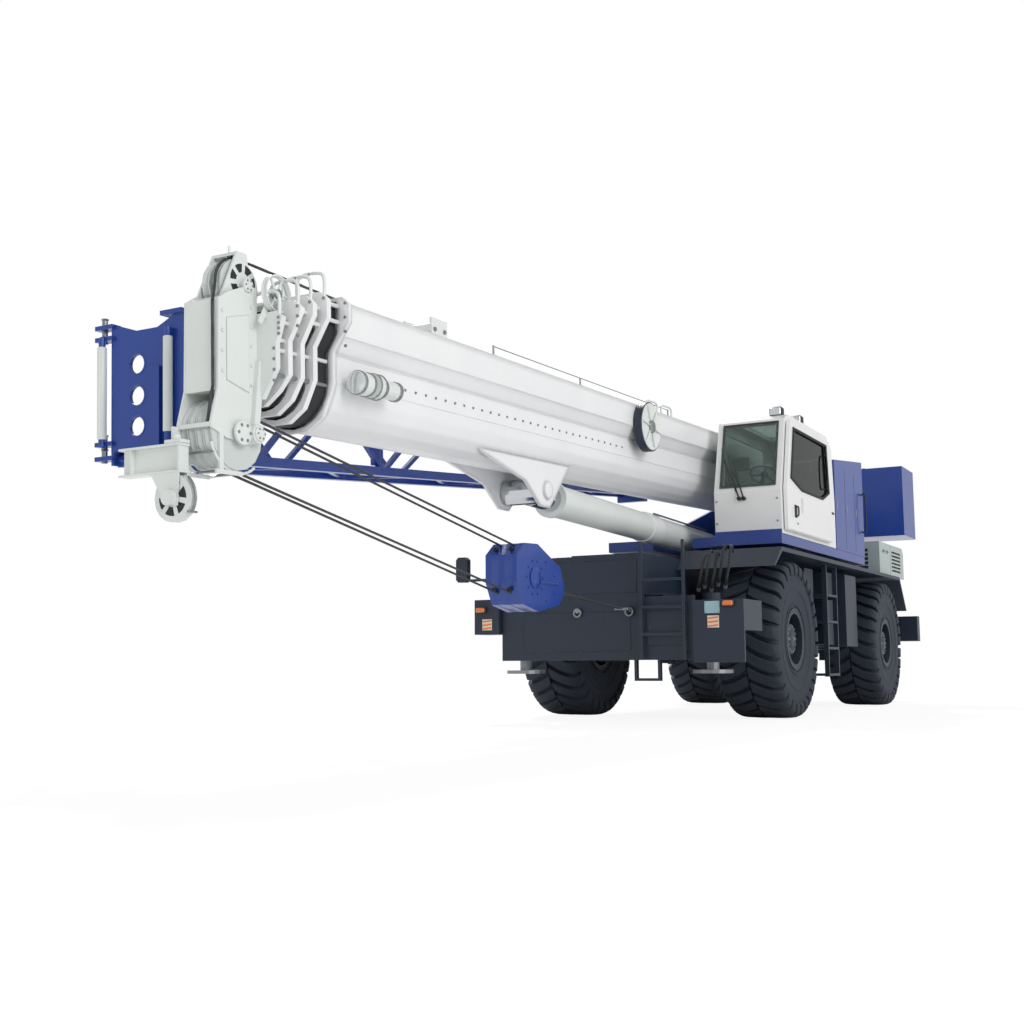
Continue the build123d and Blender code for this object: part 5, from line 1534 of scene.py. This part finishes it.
@dataclass
class Collars:
    """Painted shade as black bands and plates in the slots between the sections' nested collars, and the pins
    and bolts there.
    """

    thickness: float = 0.05
    narrower: float = 0.048
    lower: float = 0.046
    gap: float = 0.004
    rows: tuple[Collar, ...] = (Collar(11.80, 0.525, 0.375, 0.492, 0.488, "boom"),
                                Collar(12.00, 0.480, 0.352, 0.494, 0.447, "section_2"),
                                Collar(12.13, 0.455, 0.340, 0.440, 0.402, "section_3"),
                                Collar(12.26, 0.445, 0.332, 0.384, 0.354, "section_4"),
                                Collar(12.39, 0.380, 0.325, 0.285, 0.330, "boom_tip_section"))

    def build(self) -> None:
        """Each collar's bolts on its front face and, behind all but the first, the black painted shade in its
        slot, its pins and rail.
        """
        for k, row in enumerate(self.rows):
            piece = Piece(f"collar_fittings_{k + 1}", row.body, "head_paint", on_boom)
            piece.add(STEEL, bolt_heads(self.bolts(k), X_AXIS, 0.010, 0.010))
            if k:
                self.pins(piece, k)
                self.packing(piece, k)
            piece.make()

    def bolts(self, k: int) -> list[tuple[float, float, float]]:
        """Places of the bolts on a collar's face that the next collar leaves free.

        Args:
            k: the collar's number, from 0.

        Returns:
            The places.
        """
        row = self.rows[k]
        x = row.x + self.thickness
        high, low = np.linspace(row.top - 0.05, 0.12, 4), np.linspace(0.02, -row.depth + 0.12, 4)
        places = [(x, s * (row.half - 0.028), z) for s in (-1, 1) for z in high]
        places += [(x, s * (row.low_half - 0.016), z) for s in (-1, 1) for z in low]
        if k + 1 == len(self.rows):
            return places
        ahead = self.rows[k + 1]
        return [p for p in places if abs(p[1]) > ahead.half + 0.012 or p[2] > ahead.top]

    def pins(self, piece: Piece, k: int) -> None:
        """Pins on both sides between a collar and the one behind it.

        Args:
            piece: what they are added to.
            k: the collar's number, from 1.
        """
        row = self.rows[k]
        behind = self.rows[k - 1].x + self.thickness
        for z in (row.top - 0.07, row.top - 0.19, 0.02, -0.16):
            y = row.half - 0.05 if z > 0.2 else row.low_half - 0.035
            pin = bar((behind + 0.001, y, z), (row.x + 0.002, y, z), 0.016, 10)
            piece.both(PALE if z > 0 else STEEL, pin)

    def packing(self, piece: Piece, k: int) -> None:
        """Black plates and a band round a section between its collar and the one behind it, painted as the
        shade in that slot, with the collar's grab rail.

        Args:
            piece: what it is added to.
            k: the collar's number, from 1.
        """
        row = self.rows[k]
        behind = self.rows[k - 1].x + self.thickness
        half, top = BOOM_HALF - self.narrower * k, BOOM_TOP - self.lower * k
        wide, high = half + self.gap, top + self.gap
        # the black lid, band and side plates are painted shade that fills the slot between the two collars
        lid = slab((behind + 0.004, -wide + 0.02, high - 0.002), (row.x, wide - 0.02, high + 0.02))
        piece.add(BLACK, lid)
        shape = self.section(half, top)
        piece.add(BLACK, band(inset(shape, -0.022), inset(shape, -0.006), Across.X, behind + 0.002, row.x))
        self.rail(piece, row.x + self.thickness / 2.0, row.half, row.top)
        piece.both(BLACK, slab((behind + 0.004, wide - 0.003, 0.22), (row.x, wide + 0.014, high - 0.02)))

    @staticmethod
    def section(half: float, top: float) -> Array:
        """A section's outline: upright walls, slanted bands and a half-round belly (low cos t, low sin t).

        Args:
            half: half the upper width.
            top: the top's height.

        Returns:
            The corners in Y and Z.
        """
        low = half - 0.085
        t = np.linspace(0.0, math.pi, 13)
        belly = np.stack([low * np.cos(t), BELLY_Z - low * np.sin(t)], 1)
        left = [(half, top), (half, KNEE_HIGH), (low, KNEE_LOW)]
        right = [(-low, KNEE_LOW), (-half, KNEE_HIGH), (-half, top)]
        return np.concatenate([np.array(left), belly, np.array(right)])

    @staticmethod
    def rail(piece: Piece, x: float, half: float, top: float) -> None:
        """A grab rail's loop over a collar's left corner.

        Args:
            piece: what it is added to.
            x: its place along the boom.
            half: half the collar's width.
            top: the collar's top.
        """
        loop = [(x, half - 0.04, top - 0.03), (x, half - 0.04, top + 0.10), (x, half - 0.09, top + 0.15),
                (x, half - 0.24, top + 0.15), (x, half - 0.29, top + 0.10), (x, half - 0.29, top - 0.01)]
        piece.add(PALE, pipe(spline(loop, 7), 0.013, 10))


@dataclass
class BoomHead:
    """The head's bolts, caps, guards, idler, sheave ribs, rope and single-line wheel, on the tip section."""

    low_sheave: tuple[float, float] = (12.632, -0.596)
    top_sheave: tuple[float, float] = (12.541, 0.470)
    guard: float = 0.282
    over_sheave: float = 0.212
    idler_at: tuple[float, float, float] = (12.36, 0.27, 0.43)
    aux_at: tuple[float, float, float] = (12.990, -0.090, -1.058)
    keeper: float = 0.178

    def build(self) -> None:
        """Everything on the head."""
        piece = Piece("head_fittings", "boom_tip_section", "head_paint", on_boom)
        self.cheeks(piece)
        self.guards(piece)
        self.idler(piece)
        piece.make()
        self.ribs()
        self.ropes()
        self.aux()

    def cheeks(self, piece: Piece) -> None:
        """Bolts and a raised plate on both cheeks, and a bolted cap over each pin.

        Args:
            piece: what they are added to.
        """
        places = [(12.50, 0.156, z) for z in (0.32, 0.18, 0.04, -0.10, -0.24)]
        places += [(12.80, 0.156, z) for z in (0.24, 0.10, -0.04, -0.18)]
        piece.both(PALE, bolt_heads(places, Y_AXIS, 0.012))
        plate = [(12.53, 0.26), (12.76, 0.20), (12.76, -0.24), (12.53, -0.30)]
        piece.both(PALE, board(plate, Across.Y, 0.154, 0.164, 0.006))
        pins = ((*self.low_sheave, 0.085, 0.186), (*self.top_sheave, 0.05, 0.156),
                (12.490, -0.590, 0.052, 0.215))
        for x, z, r, y in pins:
            cap = [(-0.004, r), (0.014, r), (0.020, r * 0.85), (0.021, r * 0.5)]
            piece.both(PALE, lathe(cap, (x, y, z), Y_AXIS, 28))
            ring = around((x, y + 0.019, z), 0.7 * r, full_turn(6))
            piece.both(STEEL, bolt_heads(ring, Y_AXIS, r * 0.12, 0.008))

    def guards(self, piece: Piece) -> None:
        """Rope guards round the lower sheaves, a pin on top, and black sectors painted on the top sheaves as
        the shade in their openings.

        Args:
            piece: what they are added to.
        """
        x, z = self.low_sheave
        for y in (0.144, -0.144):
            piece.add(PALE, pipe(around((x, y, z), self.guard, np.linspace(-2.2, -0.3, 14)), 0.010, 8))
        for at in around((x, 0.15, z), self.guard, np.array([-1.9, -1.2, -0.55])):
            piece.add(STEEL, bar(at * (1, -1, 1), at, 0.010))
        piece.add(PALE, bar((12.55, 0.0, 0.70), (12.55, 0.0, 0.78), 0.009))
        # black sectors: painted shade in the top sheaves' openings between their spokes
        piece.both(BLACK, shade_sectors((12.541, 0.1165, 0.50), Across.Y, 0.070, 0.130, 7))

    def idler(self, piece: Piece) -> None:
        """A spoked idler wheel beside the head's top corner, on its bracket.

        Args:
            piece: what it is added to.
        """
        x, y, z = self.idler_at
        rim = [(-0.022, 0.140), (-0.006, 0.132), (0.006, 0.132), (0.022, 0.140), (0.022, 0.128), (0.0, 0.116),
               (-0.022, 0.128)]
        piece.add(PALE, lathe(rim, self.idler_at, Y_AXIS, 36, loop=True))
        hub = [(-0.03, 0.026), (-0.024, 0.034), (0.024, 0.034), (0.03, 0.026)]
        piece.add(STEEL, lathe(hub, self.idler_at, Y_AXIS, 20))
        piece.add(PALE, *spokes(self.idler_at, (0.03, y), (0.12, y), 0.009))
        arm = [(x - 0.02, z - 0.02), (x + 0.12, z - 0.24), (x + 0.16, z - 0.22), (x + 0.02, z + 0.02)]
        piece.add(PALE, board(arm, Across.Y, y - 0.045, y - 0.031))

    def ribs(self) -> None:
        """Raised ribs and rims on the outer faces of the head sheaves."""
        piece = Piece("head_sheave_ribs", "boom_tip_section", "sheave_plastic", on_boom)
        for (x, z), r, y in ((self.low_sheave, 0.26, 0.128), (self.top_sheave, 0.20, 0.072)):
            rim = [(y - 0.008, r - 0.030), (y + 0.005, r - 0.034), (y + 0.005, r - 0.052),
                   (y - 0.008, r - 0.056)]
            piece.both(NYLON, lathe(rim, (x, 0, z), Y_AXIS, 40, loop=True))
            piece.both(NYLON, *spokes((x, z), (0.05, y - 0.004), (r - 0.04, y - 0.004), 0.011, 0.3))
        piece.make()

    def ropes(self) -> None:
        """The hoist rope from the base section over a top sheave and down outside the nose to a lower one."""
        piece = Piece("hoist_rope_on_head", "boom_tip_section", "wire_rope", on_boom)
        (x, z), r, y = self.top_sheave, self.over_sheave, 0.05
        piece.add(ROPE, wire_rope((11.79, ROPE_Y, 0.628), (x, y, z + r), HOIST_ROPE))
        arc = [(x + r * math.sin(a), y, z + r * math.cos(a)) for a in np.linspace(0, 1.4, 14)]
        piece.add(ROPE, pipe(np.array(arc), HOIST_ROPE, 12))
        fall = [arc[-1], (12.800, 0.085, 0.400), (12.856, 0.118, 0.300), (12.857, 0.120, -0.290),
                (12.904, 0.108, -0.570)]
        for start, end in zip(fall[:-1], fall[1:]):
            piece.add(ROPE, wire_rope(start, end, HOIST_ROPE))
        piece.make()

    def aux(self) -> None:
        """Black sectors painted on the single-line wheel as the shade of its openings, and its rope keeper.
        """
        piece = Piece("aux_wheel_fittings", "boom_tip_section", "sheave_plastic", on_boom)
        x, y, z = self.aux_at
        # black sectors on both faces: painted shade in the wheel's recess between its spokes
        for side in (-1.0, 1.0):
            piece.add(BLACK, shade_sectors((x + side * 0.0305, y, z), Across.X, 0.062, 0.122, 6))
        turns = np.linspace(-0.6, 0.9, 12)
        arc = [(x, y + self.keeper * math.cos(a), z + self.keeper * math.sin(a)) for a in turns]
        piece.add(STEEL, pipe(np.array(arc), 0.009, 8))
        _, end_y, end_z = arc[0]
        piece.add(STEEL, bar((x - 0.045, end_y, end_z), (x + 0.045, end_y, end_z), 0.008))
        piece.make()


@dataclass
class HookBlock:
    """The closed cover, bolts and latch of the hook block, on the hook's body."""

    x: float = 6.37
    z: float = 1.51
    half: float = 0.172
    bolt_circle: float = 0.17

    def build(self) -> None:
        """The cover and the latch."""
        self.cover()
        latch = Piece("hook_latch", "hook", "hard_chrome")
        path = [(5.600, 0.0, 1.555), (5.560, 0.0, 1.585), (5.500, 0.0, 1.580)]
        latch.add(STEEL, pipe(spline(path, 6), 0.009, 8))
        latch.make()

    def cover(self) -> None:
        """The cover round the cheeks' rims, the ropes' bushes, and the cheeks' bolts, caps, ribs and nut."""
        piece = Piece("hook_block_cover", "hook", "blue_paint")
        x, z = self.x, self.z
        outline = np.array([(x - 0.638, z - 0.129), (x - 0.519, z - 0.248), (x - 0.06, z - 0.328),
                            (x + 0.249, z - 0.268), (x + 0.368, z - 0.06), (x + 0.368, z + 0.209),
                            (x + 0.209, z + 0.328), (x - 0.06, z + 0.338), (x - 0.559, z + 0.129)])
        piece.add(BLUE, band(outline, inset(outline, 0.010), Across.Y, -self.half, self.half))
        bush = [(-0.030, 0.020), (0.006, 0.023), (0.012, 0.019), (0.012, 0.012)]
        for bush_x, bush_z in ((x + 0.33, z + 0.27), (x + 0.365, z - 0.13)):
            for y in (-0.085, 0.085):
                piece.add(SEAL, lathe(bush, (bush_x, y, bush_z), (0.97, 0.0, 0.24), 20))
        y = 0.176
        ring = around((x, y, z), self.bolt_circle, full_turn(10)).tolist()
        ring += [(x - 0.42, y, z + 0.04), (x - 0.42, y, z - 0.14), (x - 0.24, y, z - 0.22),
                 (x - 0.24, y, z + 0.17)]
        piece.both(BLUE, bolt_heads(ring, Y_AXIS, 0.011, 0.009))
        cap = [(-0.004, 0.105), (0.010, 0.105), (0.016, 0.092), (0.024, 0.080), (0.028, 0.05)]
        piece.both(BLUE, lathe(cap, (x, 0.175, z), Y_AXIS, 36))
        rib = [(x - 0.50, z - 0.03), (x - 0.12, z - 0.03), (x - 0.12, z - 0.055), (x - 0.50, z - 0.055)]
        piece.both(BLUE, board(rib, Across.Y, self.half, self.half + 0.014, 0.005))
        piece.add(STEEL, bolt_heads([(x - 0.715, 0.0, z - 0.04)], -X_AXIS, 0.062, 0.030))
        piece.make()


@dataclass
class Jib:
    """The sleeves, rims and pins of the stowed jib's fork frame."""

    post_x: float = 12.540
    face_x: float = 12.480
    pin_x: float = 12.485

    def build(self) -> None:
        """Sleeves on the two posts, rims round the plate's three openings, and the outer post's pins."""
        piece = Piece("jib_fittings", "boom", "head_paint", on_boom)
        sleeve = [(0.0, 0.031), (0.008, 0.036), (0.70, 0.036), (0.708, 0.031)]
        for y in (-1.272, -0.600):
            piece.add(PALE, lathe(sleeve, (self.post_x, y, -0.50), Z_AXIS, 20))
        rim = [(-0.004, 0.074), (0.026, 0.074), (0.028, 0.086), (-0.006, 0.086)]
        for z in (0.047, -0.193, -0.423):
            piece.add(BLUE, lathe(rim, (self.face_x, -0.945, z), X_AXIS, 32, loop=True))
        pin = [(-0.03, 0.022), (0.062, 0.022), (0.070, 0.030), (0.078, 0.026)]
        for z in (0.364, 0.274, -0.643, -0.533):
            piece.add(STEEL, lathe(pin, (self.pin_x, -1.30, z), Z_AXIS, 16))
        piece.make()


@dataclass
class Superstructure:
    """Louvres, latches, lamps, winch ropes and seams on the slewing superstructure."""

    drums: tuple[float, float] = (-2.78, -3.42)
    drum_z: float = 3.01
    drum_half: float = 0.318
    wound: float = 0.199
    scallop: float = 0.009
    lay: float = 0.022
    left_face: float = 1.446

    def build(self) -> None:
        """Hood, winches and cabinets."""
        self.hood()
        self.winch_ropes()
        self.cabinets()

    def hood(self) -> None:
        """Angled louvre blades in the hood's openings, its latches, seams, rear lamps and exhaust."""
        piece = Piece("hood_fittings", "superstructure", "hood_paint")
        for k in range(5):
            low = 2.14 + 0.068 * k
            blade = [(-2.855, low - 0.006), (-2.826, low - 0.012), (-2.822, low - 0.006),
                     (-2.850, low + 0.030)]
            piece.both(BLACK, board(blade, Across.Y, 0.562, 1.298, 0.002))
        for k in range(6):
            low = 2.13 + 0.06 * k
            blade = [(1.484, low + 0.002), (1.490, low + 0.006), (1.462, low + 0.032), (1.456, low + 0.028)]
            piece.both(BLACK, board(blade, Across.X, -4.358, -3.702, 0.001))
        for x, z in ((-3.35, 2.42), (-3.10, 2.42)):
            piece.both(STEEL, slab((x - 0.045, 1.479, z - 0.03), (x + 0.045, 1.490, z + 0.03), 0.005))
            piece.both(BLACK, bar((x - 0.03, 1.497, z), (x + 0.03, 1.497, z), 0.008))
        seam = [(-3.60, 2.06), (-3.592, 2.06), (-3.592, 2.54), (-3.60, 2.54)]
        piece.both(BLACK, board(seam, Across.Y, 1.476, 1.4815, 0.001))
        for y, lens in ((0.95, RED), (1.16, AMBER)):
            piece.both(BLACK, slab((-4.620, y, 2.10), (-4.598, y + 0.17, 2.20), 0.008))
            piece.both(lens, slab((-4.632, y + 0.01, 2.11), (-4.618, y + 0.16, 2.19), 0.006))
        stack = [(0.0, 0.055), (0.16, 0.055), (0.165, 0.062), (0.19, 0.062), (0.195, 0.050)]
        piece.add(STEEL, lathe(stack, (-3.25, -1.15, 2.555), Z_AXIS, 28))
        piece.make()

    def winch_ropes(self) -> None:
        """The rope on both drums, whose radius is wound + scallop |cos| along the drum, and the lead."""
        piece = Piece("winch_rope_layers", "superstructure", "wire_rope")
        y = np.linspace(-self.drum_half, self.drum_half, 233)
        rows = np.stack([y, self.wound + self.scallop * np.abs(np.cos(math.pi * y / self.lay))], 1)
        turns = np.linspace(0, 6.28, 9)[:-1]
        for x in self.drums:
            piece.add(ROPE, lathe(rows, (x, 0.0, self.drum_z), Y_AXIS, 48))
            heads = around((x, 0.350, self.drum_z), 0.20, turns)
            piece.both(STEEL, bolt_heads(heads, Y_AXIS, 0.012))
        piece.make()
        lead = Piece("hoist_rope_lead", "superstructure", "wire_rope")
        end = on_boom(np.array([[0.5, ROPE_Y, 0.560]]))[0]
        lead.add(ROPE, wire_rope((self.drums[0], ROPE_Y, 3.222), end, HOIST_ROPE))
        made = lead.make(rides=False)
        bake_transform(made)

    def cabinets(self) -> None:
        """Door seams, latches and a grab rail of the side cabinets, and the counterweight's bolts."""
        piece = Piece("cabinet_fittings", "superstructure", "cab_paint")
        face = self.left_face
        for x in (-1.45, -0.90):
            seam = [(x, 2.29), (x + 0.008, 2.29), (x + 0.008, 3.44), (x, 3.44)]
            piece.add(BLACK, board(seam, Across.Y, face, face + 0.0055, 0.001))
        for x in (-1.52, -0.97, -0.42):
            piece.add(STEEL, slab((x - 0.02, face + 0.003, 2.82), (x + 0.02, face + 0.0105, 2.92), 0.002))
        rail = [(-1.86, 1.449, 2.62), (-1.86, 1.51, 2.64), (-1.86, 1.51, 3.16), (-1.86, 1.449, 3.18)]
        piece.add(BLACK, pipe(spline(rail, 6), 0.012, 10))
        for x in (-1.4, -0.8):
            seam = [(x, 2.27), (x + 0.008, 2.27), (x + 0.008, 2.69), (x, 2.69)]
            piece.add(BLACK, board(seam, Across.Y, -face - 0.0055, -face, 0.001))
        bolts = [(x, 1.6535, z) for x in (-4.70, -4.15) for z in (2.92, 3.70)]
        piece.both(STEEL, bolt_heads(bolts, Y_AXIS, 0.022, 0.0038))
        piece.make()


@dataclass
class Chassis:
    """Drive shafts and their gearbox, and the lift cylinder's clamp and pipe."""

    cylinder_foot: tuple[float, float, float] = (0.88, 0.0, 2.255)
    cylinder_eye: tuple[float, float, float] = (6.25, 0.0, 2.39)

    def build(self) -> None:
        """The drive line on the carrier and the cylinder's fittings."""
        piece = Piece("drive_line", "carrier", "axle_iron")
        yoke = [(-0.05, 0.062), (-0.03, 0.078), (0.03, 0.078), (0.05, 0.062)]
        for end_x in (1, -1):
            start, end = (end_x * 0.55, 0.0, 1.16), (end_x * 2.02, 0.0, 0.98)
            piece.add(CASTING, bar(start, end, 0.048, 20))
            for at, turn in ((start, 1), (end, -1)):
                piece.add(STEEL, lathe(yoke, at, np.subtract(end, start) * turn, 24))
        gearbox = [(-0.54, 1.00), (0.54, 1.00), (0.54, 1.30), (-0.54, 1.30)]
        piece.add(CASTING, board(gearbox, Across.Y, -0.16, 0.16, 0.04))
        piece.make()
        cylinder = Piece("lift_cylinder_fittings", "lift_cylinder_barrel", "boom_paint")
        foot, eye = np.array(self.cylinder_foot), np.array(self.cylinder_eye)
        along = (eye - foot) / np.linalg.norm(eye - foot)
        clamp = [(0.0, 0.176), (0.006, 0.186), (0.30, 0.186), (0.306, 0.176)]
        cylinder.add(WHITE, lathe(clamp, foot + along * 2.06, along, 40))
        line = foot + along * np.array([[0.5], [1.2], [2.0], [2.3]]) + np.array([0.0, 0.13, 0.16])
        cylinder.add(STEEL, pipe(spline(line), 0.012, 10))
        cylinder.make()


@dataclass
class Studio:
    """Camera, lamps, white surroundings and the floor that takes the shadow."""

    turn: float = math.radians(28.92)
    pitch: float = math.radians(6.864)
    roll: float = math.radians(-0.357)
    place: tuple[float, float, float] = (17.260 - MID, 5.936, 0.682)
    lens: float = 43.9453125
    seen_light: float = 0.38
    all_light: float = 0.62
    floor_half: float = 400.0
    floor_z: float = -0.002
    floor_grey: float = 0.80
    floor_glow: float = 1.05
    floor_share: float = 0.86

    def build(self) -> None:
        """Sets the whole studio."""
        self.camera()
        self.world()
        self.lamp("key_sun", energy=2.3, size=3.0, direction=(0.55, 0.42, -0.72))
        self.lamp("fill_sun", energy=1.1, size=30.0, direction=(-0.25, -0.85, -0.35))
        self.floor()
        bpy.context.scene.view_settings.view_transform = "Standard"

    def camera(self) -> None:
        """A camera that looks back along the machine from its front left."""
        ahead = Vector((-math.cos(self.turn), -math.sin(self.turn), 0.0))
        up = Vector((0.0, 0.0, 1.0))
        right = ahead.cross(up)
        view = ahead * math.cos(self.pitch) + up * math.sin(self.pitch)
        top = right.cross(view)
        x = right * math.cos(self.roll) + top * math.sin(self.roll)
        y = top * math.cos(self.roll) - right * math.sin(self.roll)
        matrix = Matrix((x, y, -view)).transposed().to_4x4()
        matrix.translation = Vector(self.place)
        data = bpy.data.cameras.new("camera")
        data.sensor_width = 36.0
        data.lens = self.lens
        made = bpy.data.objects.new("camera", data)
        bpy.context.collection.objects.link(made)
        made.matrix_world = matrix
        bpy.context.scene.camera = made

    def world(self) -> None:
        """White for the camera and through glass, and a weaker white as light."""
        world = bpy.data.worlds.new("studio")
        bpy.context.scene.world = world
        world.use_nodes = True
        tree = world.node_tree
        shader = tree.nodes["Background"]
        shader.inputs["Color"].default_value = (1.0, 1.0, 1.0, 1.0)
        path = tree.nodes.new("ShaderNodeLightPath")
        camera, through = path.outputs["Is Camera Ray"], path.outputs["Is Transmission Ray"]
        seen = Effect.maths(tree, "MAXIMUM", camera, through)
        lit = Effect.maths(tree, "ADD", Effect.maths(tree, "MULTIPLY", seen, self.seen_light), self.all_light)
        tree.links.new(lit, shader.inputs["Strength"])

    @staticmethod
    def lamp(name: str, energy: float, size: float, direction: Triple) -> None:
        """A soft sun that shines along a direction.

        Args:
            name: its name.
            energy: its strength.
            size: how wide it looks, in degrees.
            direction: where its light goes.
        """
        data = bpy.data.lights.new(name, "SUN")
        data.energy = energy
        data.angle = math.radians(size)
        made = bpy.data.objects.new(name, data)
        bpy.context.collection.objects.link(made)
        made.rotation_euler = Vector(direction).to_track_quat("-Z", "Y").to_euler()

    def floor(self) -> None:
        """A wide floor that is white to the camera except where the machine shades it."""
        corners = ((-1, -1), (1, -1), (1, 1), (-1, 1))
        points = [(x * self.floor_half, y * self.floor_half, self.floor_z) for x, y in corners]
        mesh = bpy.data.meshes.new("floor")
        mesh.from_pydata(points, [], [(0, 1, 2, 3)])
        made = bpy.data.objects.new("floor", mesh)
        bpy.context.collection.objects.link(made)
        material = bpy.data.materials.new("floor_white")
        material.use_nodes = True
        tree = material.node_tree
        tree.nodes.clear()
        out = tree.nodes.new("ShaderNodeOutputMaterial")
        diffuse = tree.nodes.new("ShaderNodeBsdfDiffuse")
        diffuse.inputs["Color"].default_value = (*[self.floor_grey] * 3, 1.0)
        glow = tree.nodes.new("ShaderNodeEmission")
        glow.inputs["Color"].default_value = (1.0, 1.0, 1.0, 1.0)
        glow.inputs["Strength"].default_value = self.floor_glow
        path = tree.nodes.new("ShaderNodeLightPath")
        seen = Effect.maths(tree, "MULTIPLY", path.outputs["Is Camera Ray"], self.floor_share)
        mix = tree.nodes.new("ShaderNodeMixShader")
        tree.links.new(seen, mix.inputs[0])
        tree.links.new(diffuse.outputs[0], mix.inputs[1])
        tree.links.new(glow.outputs[0], mix.inputs[2])
        tree.links.new(mix.outputs[0], out.inputs["Surface"])
        mesh.materials.append(material)


def finish_nodes(record: dict) -> None:
    """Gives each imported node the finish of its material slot; a few nodes have their own.

    Args:
        record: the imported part's record.
    """
    for part in record["subparts"]:
        made = bpy.data.objects.get(part["node"])
        if made is None:
            continue
        finish = OF_NODE.get(part["node"], BY_SLOT[part["material_slot"]])
        if not made.material_slots:
            made.data.materials.append(None)
        for slot in made.material_slots:
            slot.material = finish.material()


def main() -> None:
    """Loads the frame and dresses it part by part."""
    logging.basicConfig(level=logging.INFO, format="%(name)s %(message)s")
    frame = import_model()
    finish_nodes(frame["record"])
    for corner in CORNERS:
        Tyre().build(corner)
        Rim().build(corner)
    FrontEnd().build()
    for corner in ("fl", "fr"):
        JackFront().build(corner)
    Cab().build()
    BoomBase().build()
    Collars().build()
    BoomHead().build()
    HookBlock().build()
    Jib().build()
    Superstructure().build()
    Chassis().build()
    Studio().build()


if __name__ == "__main__":
    main()
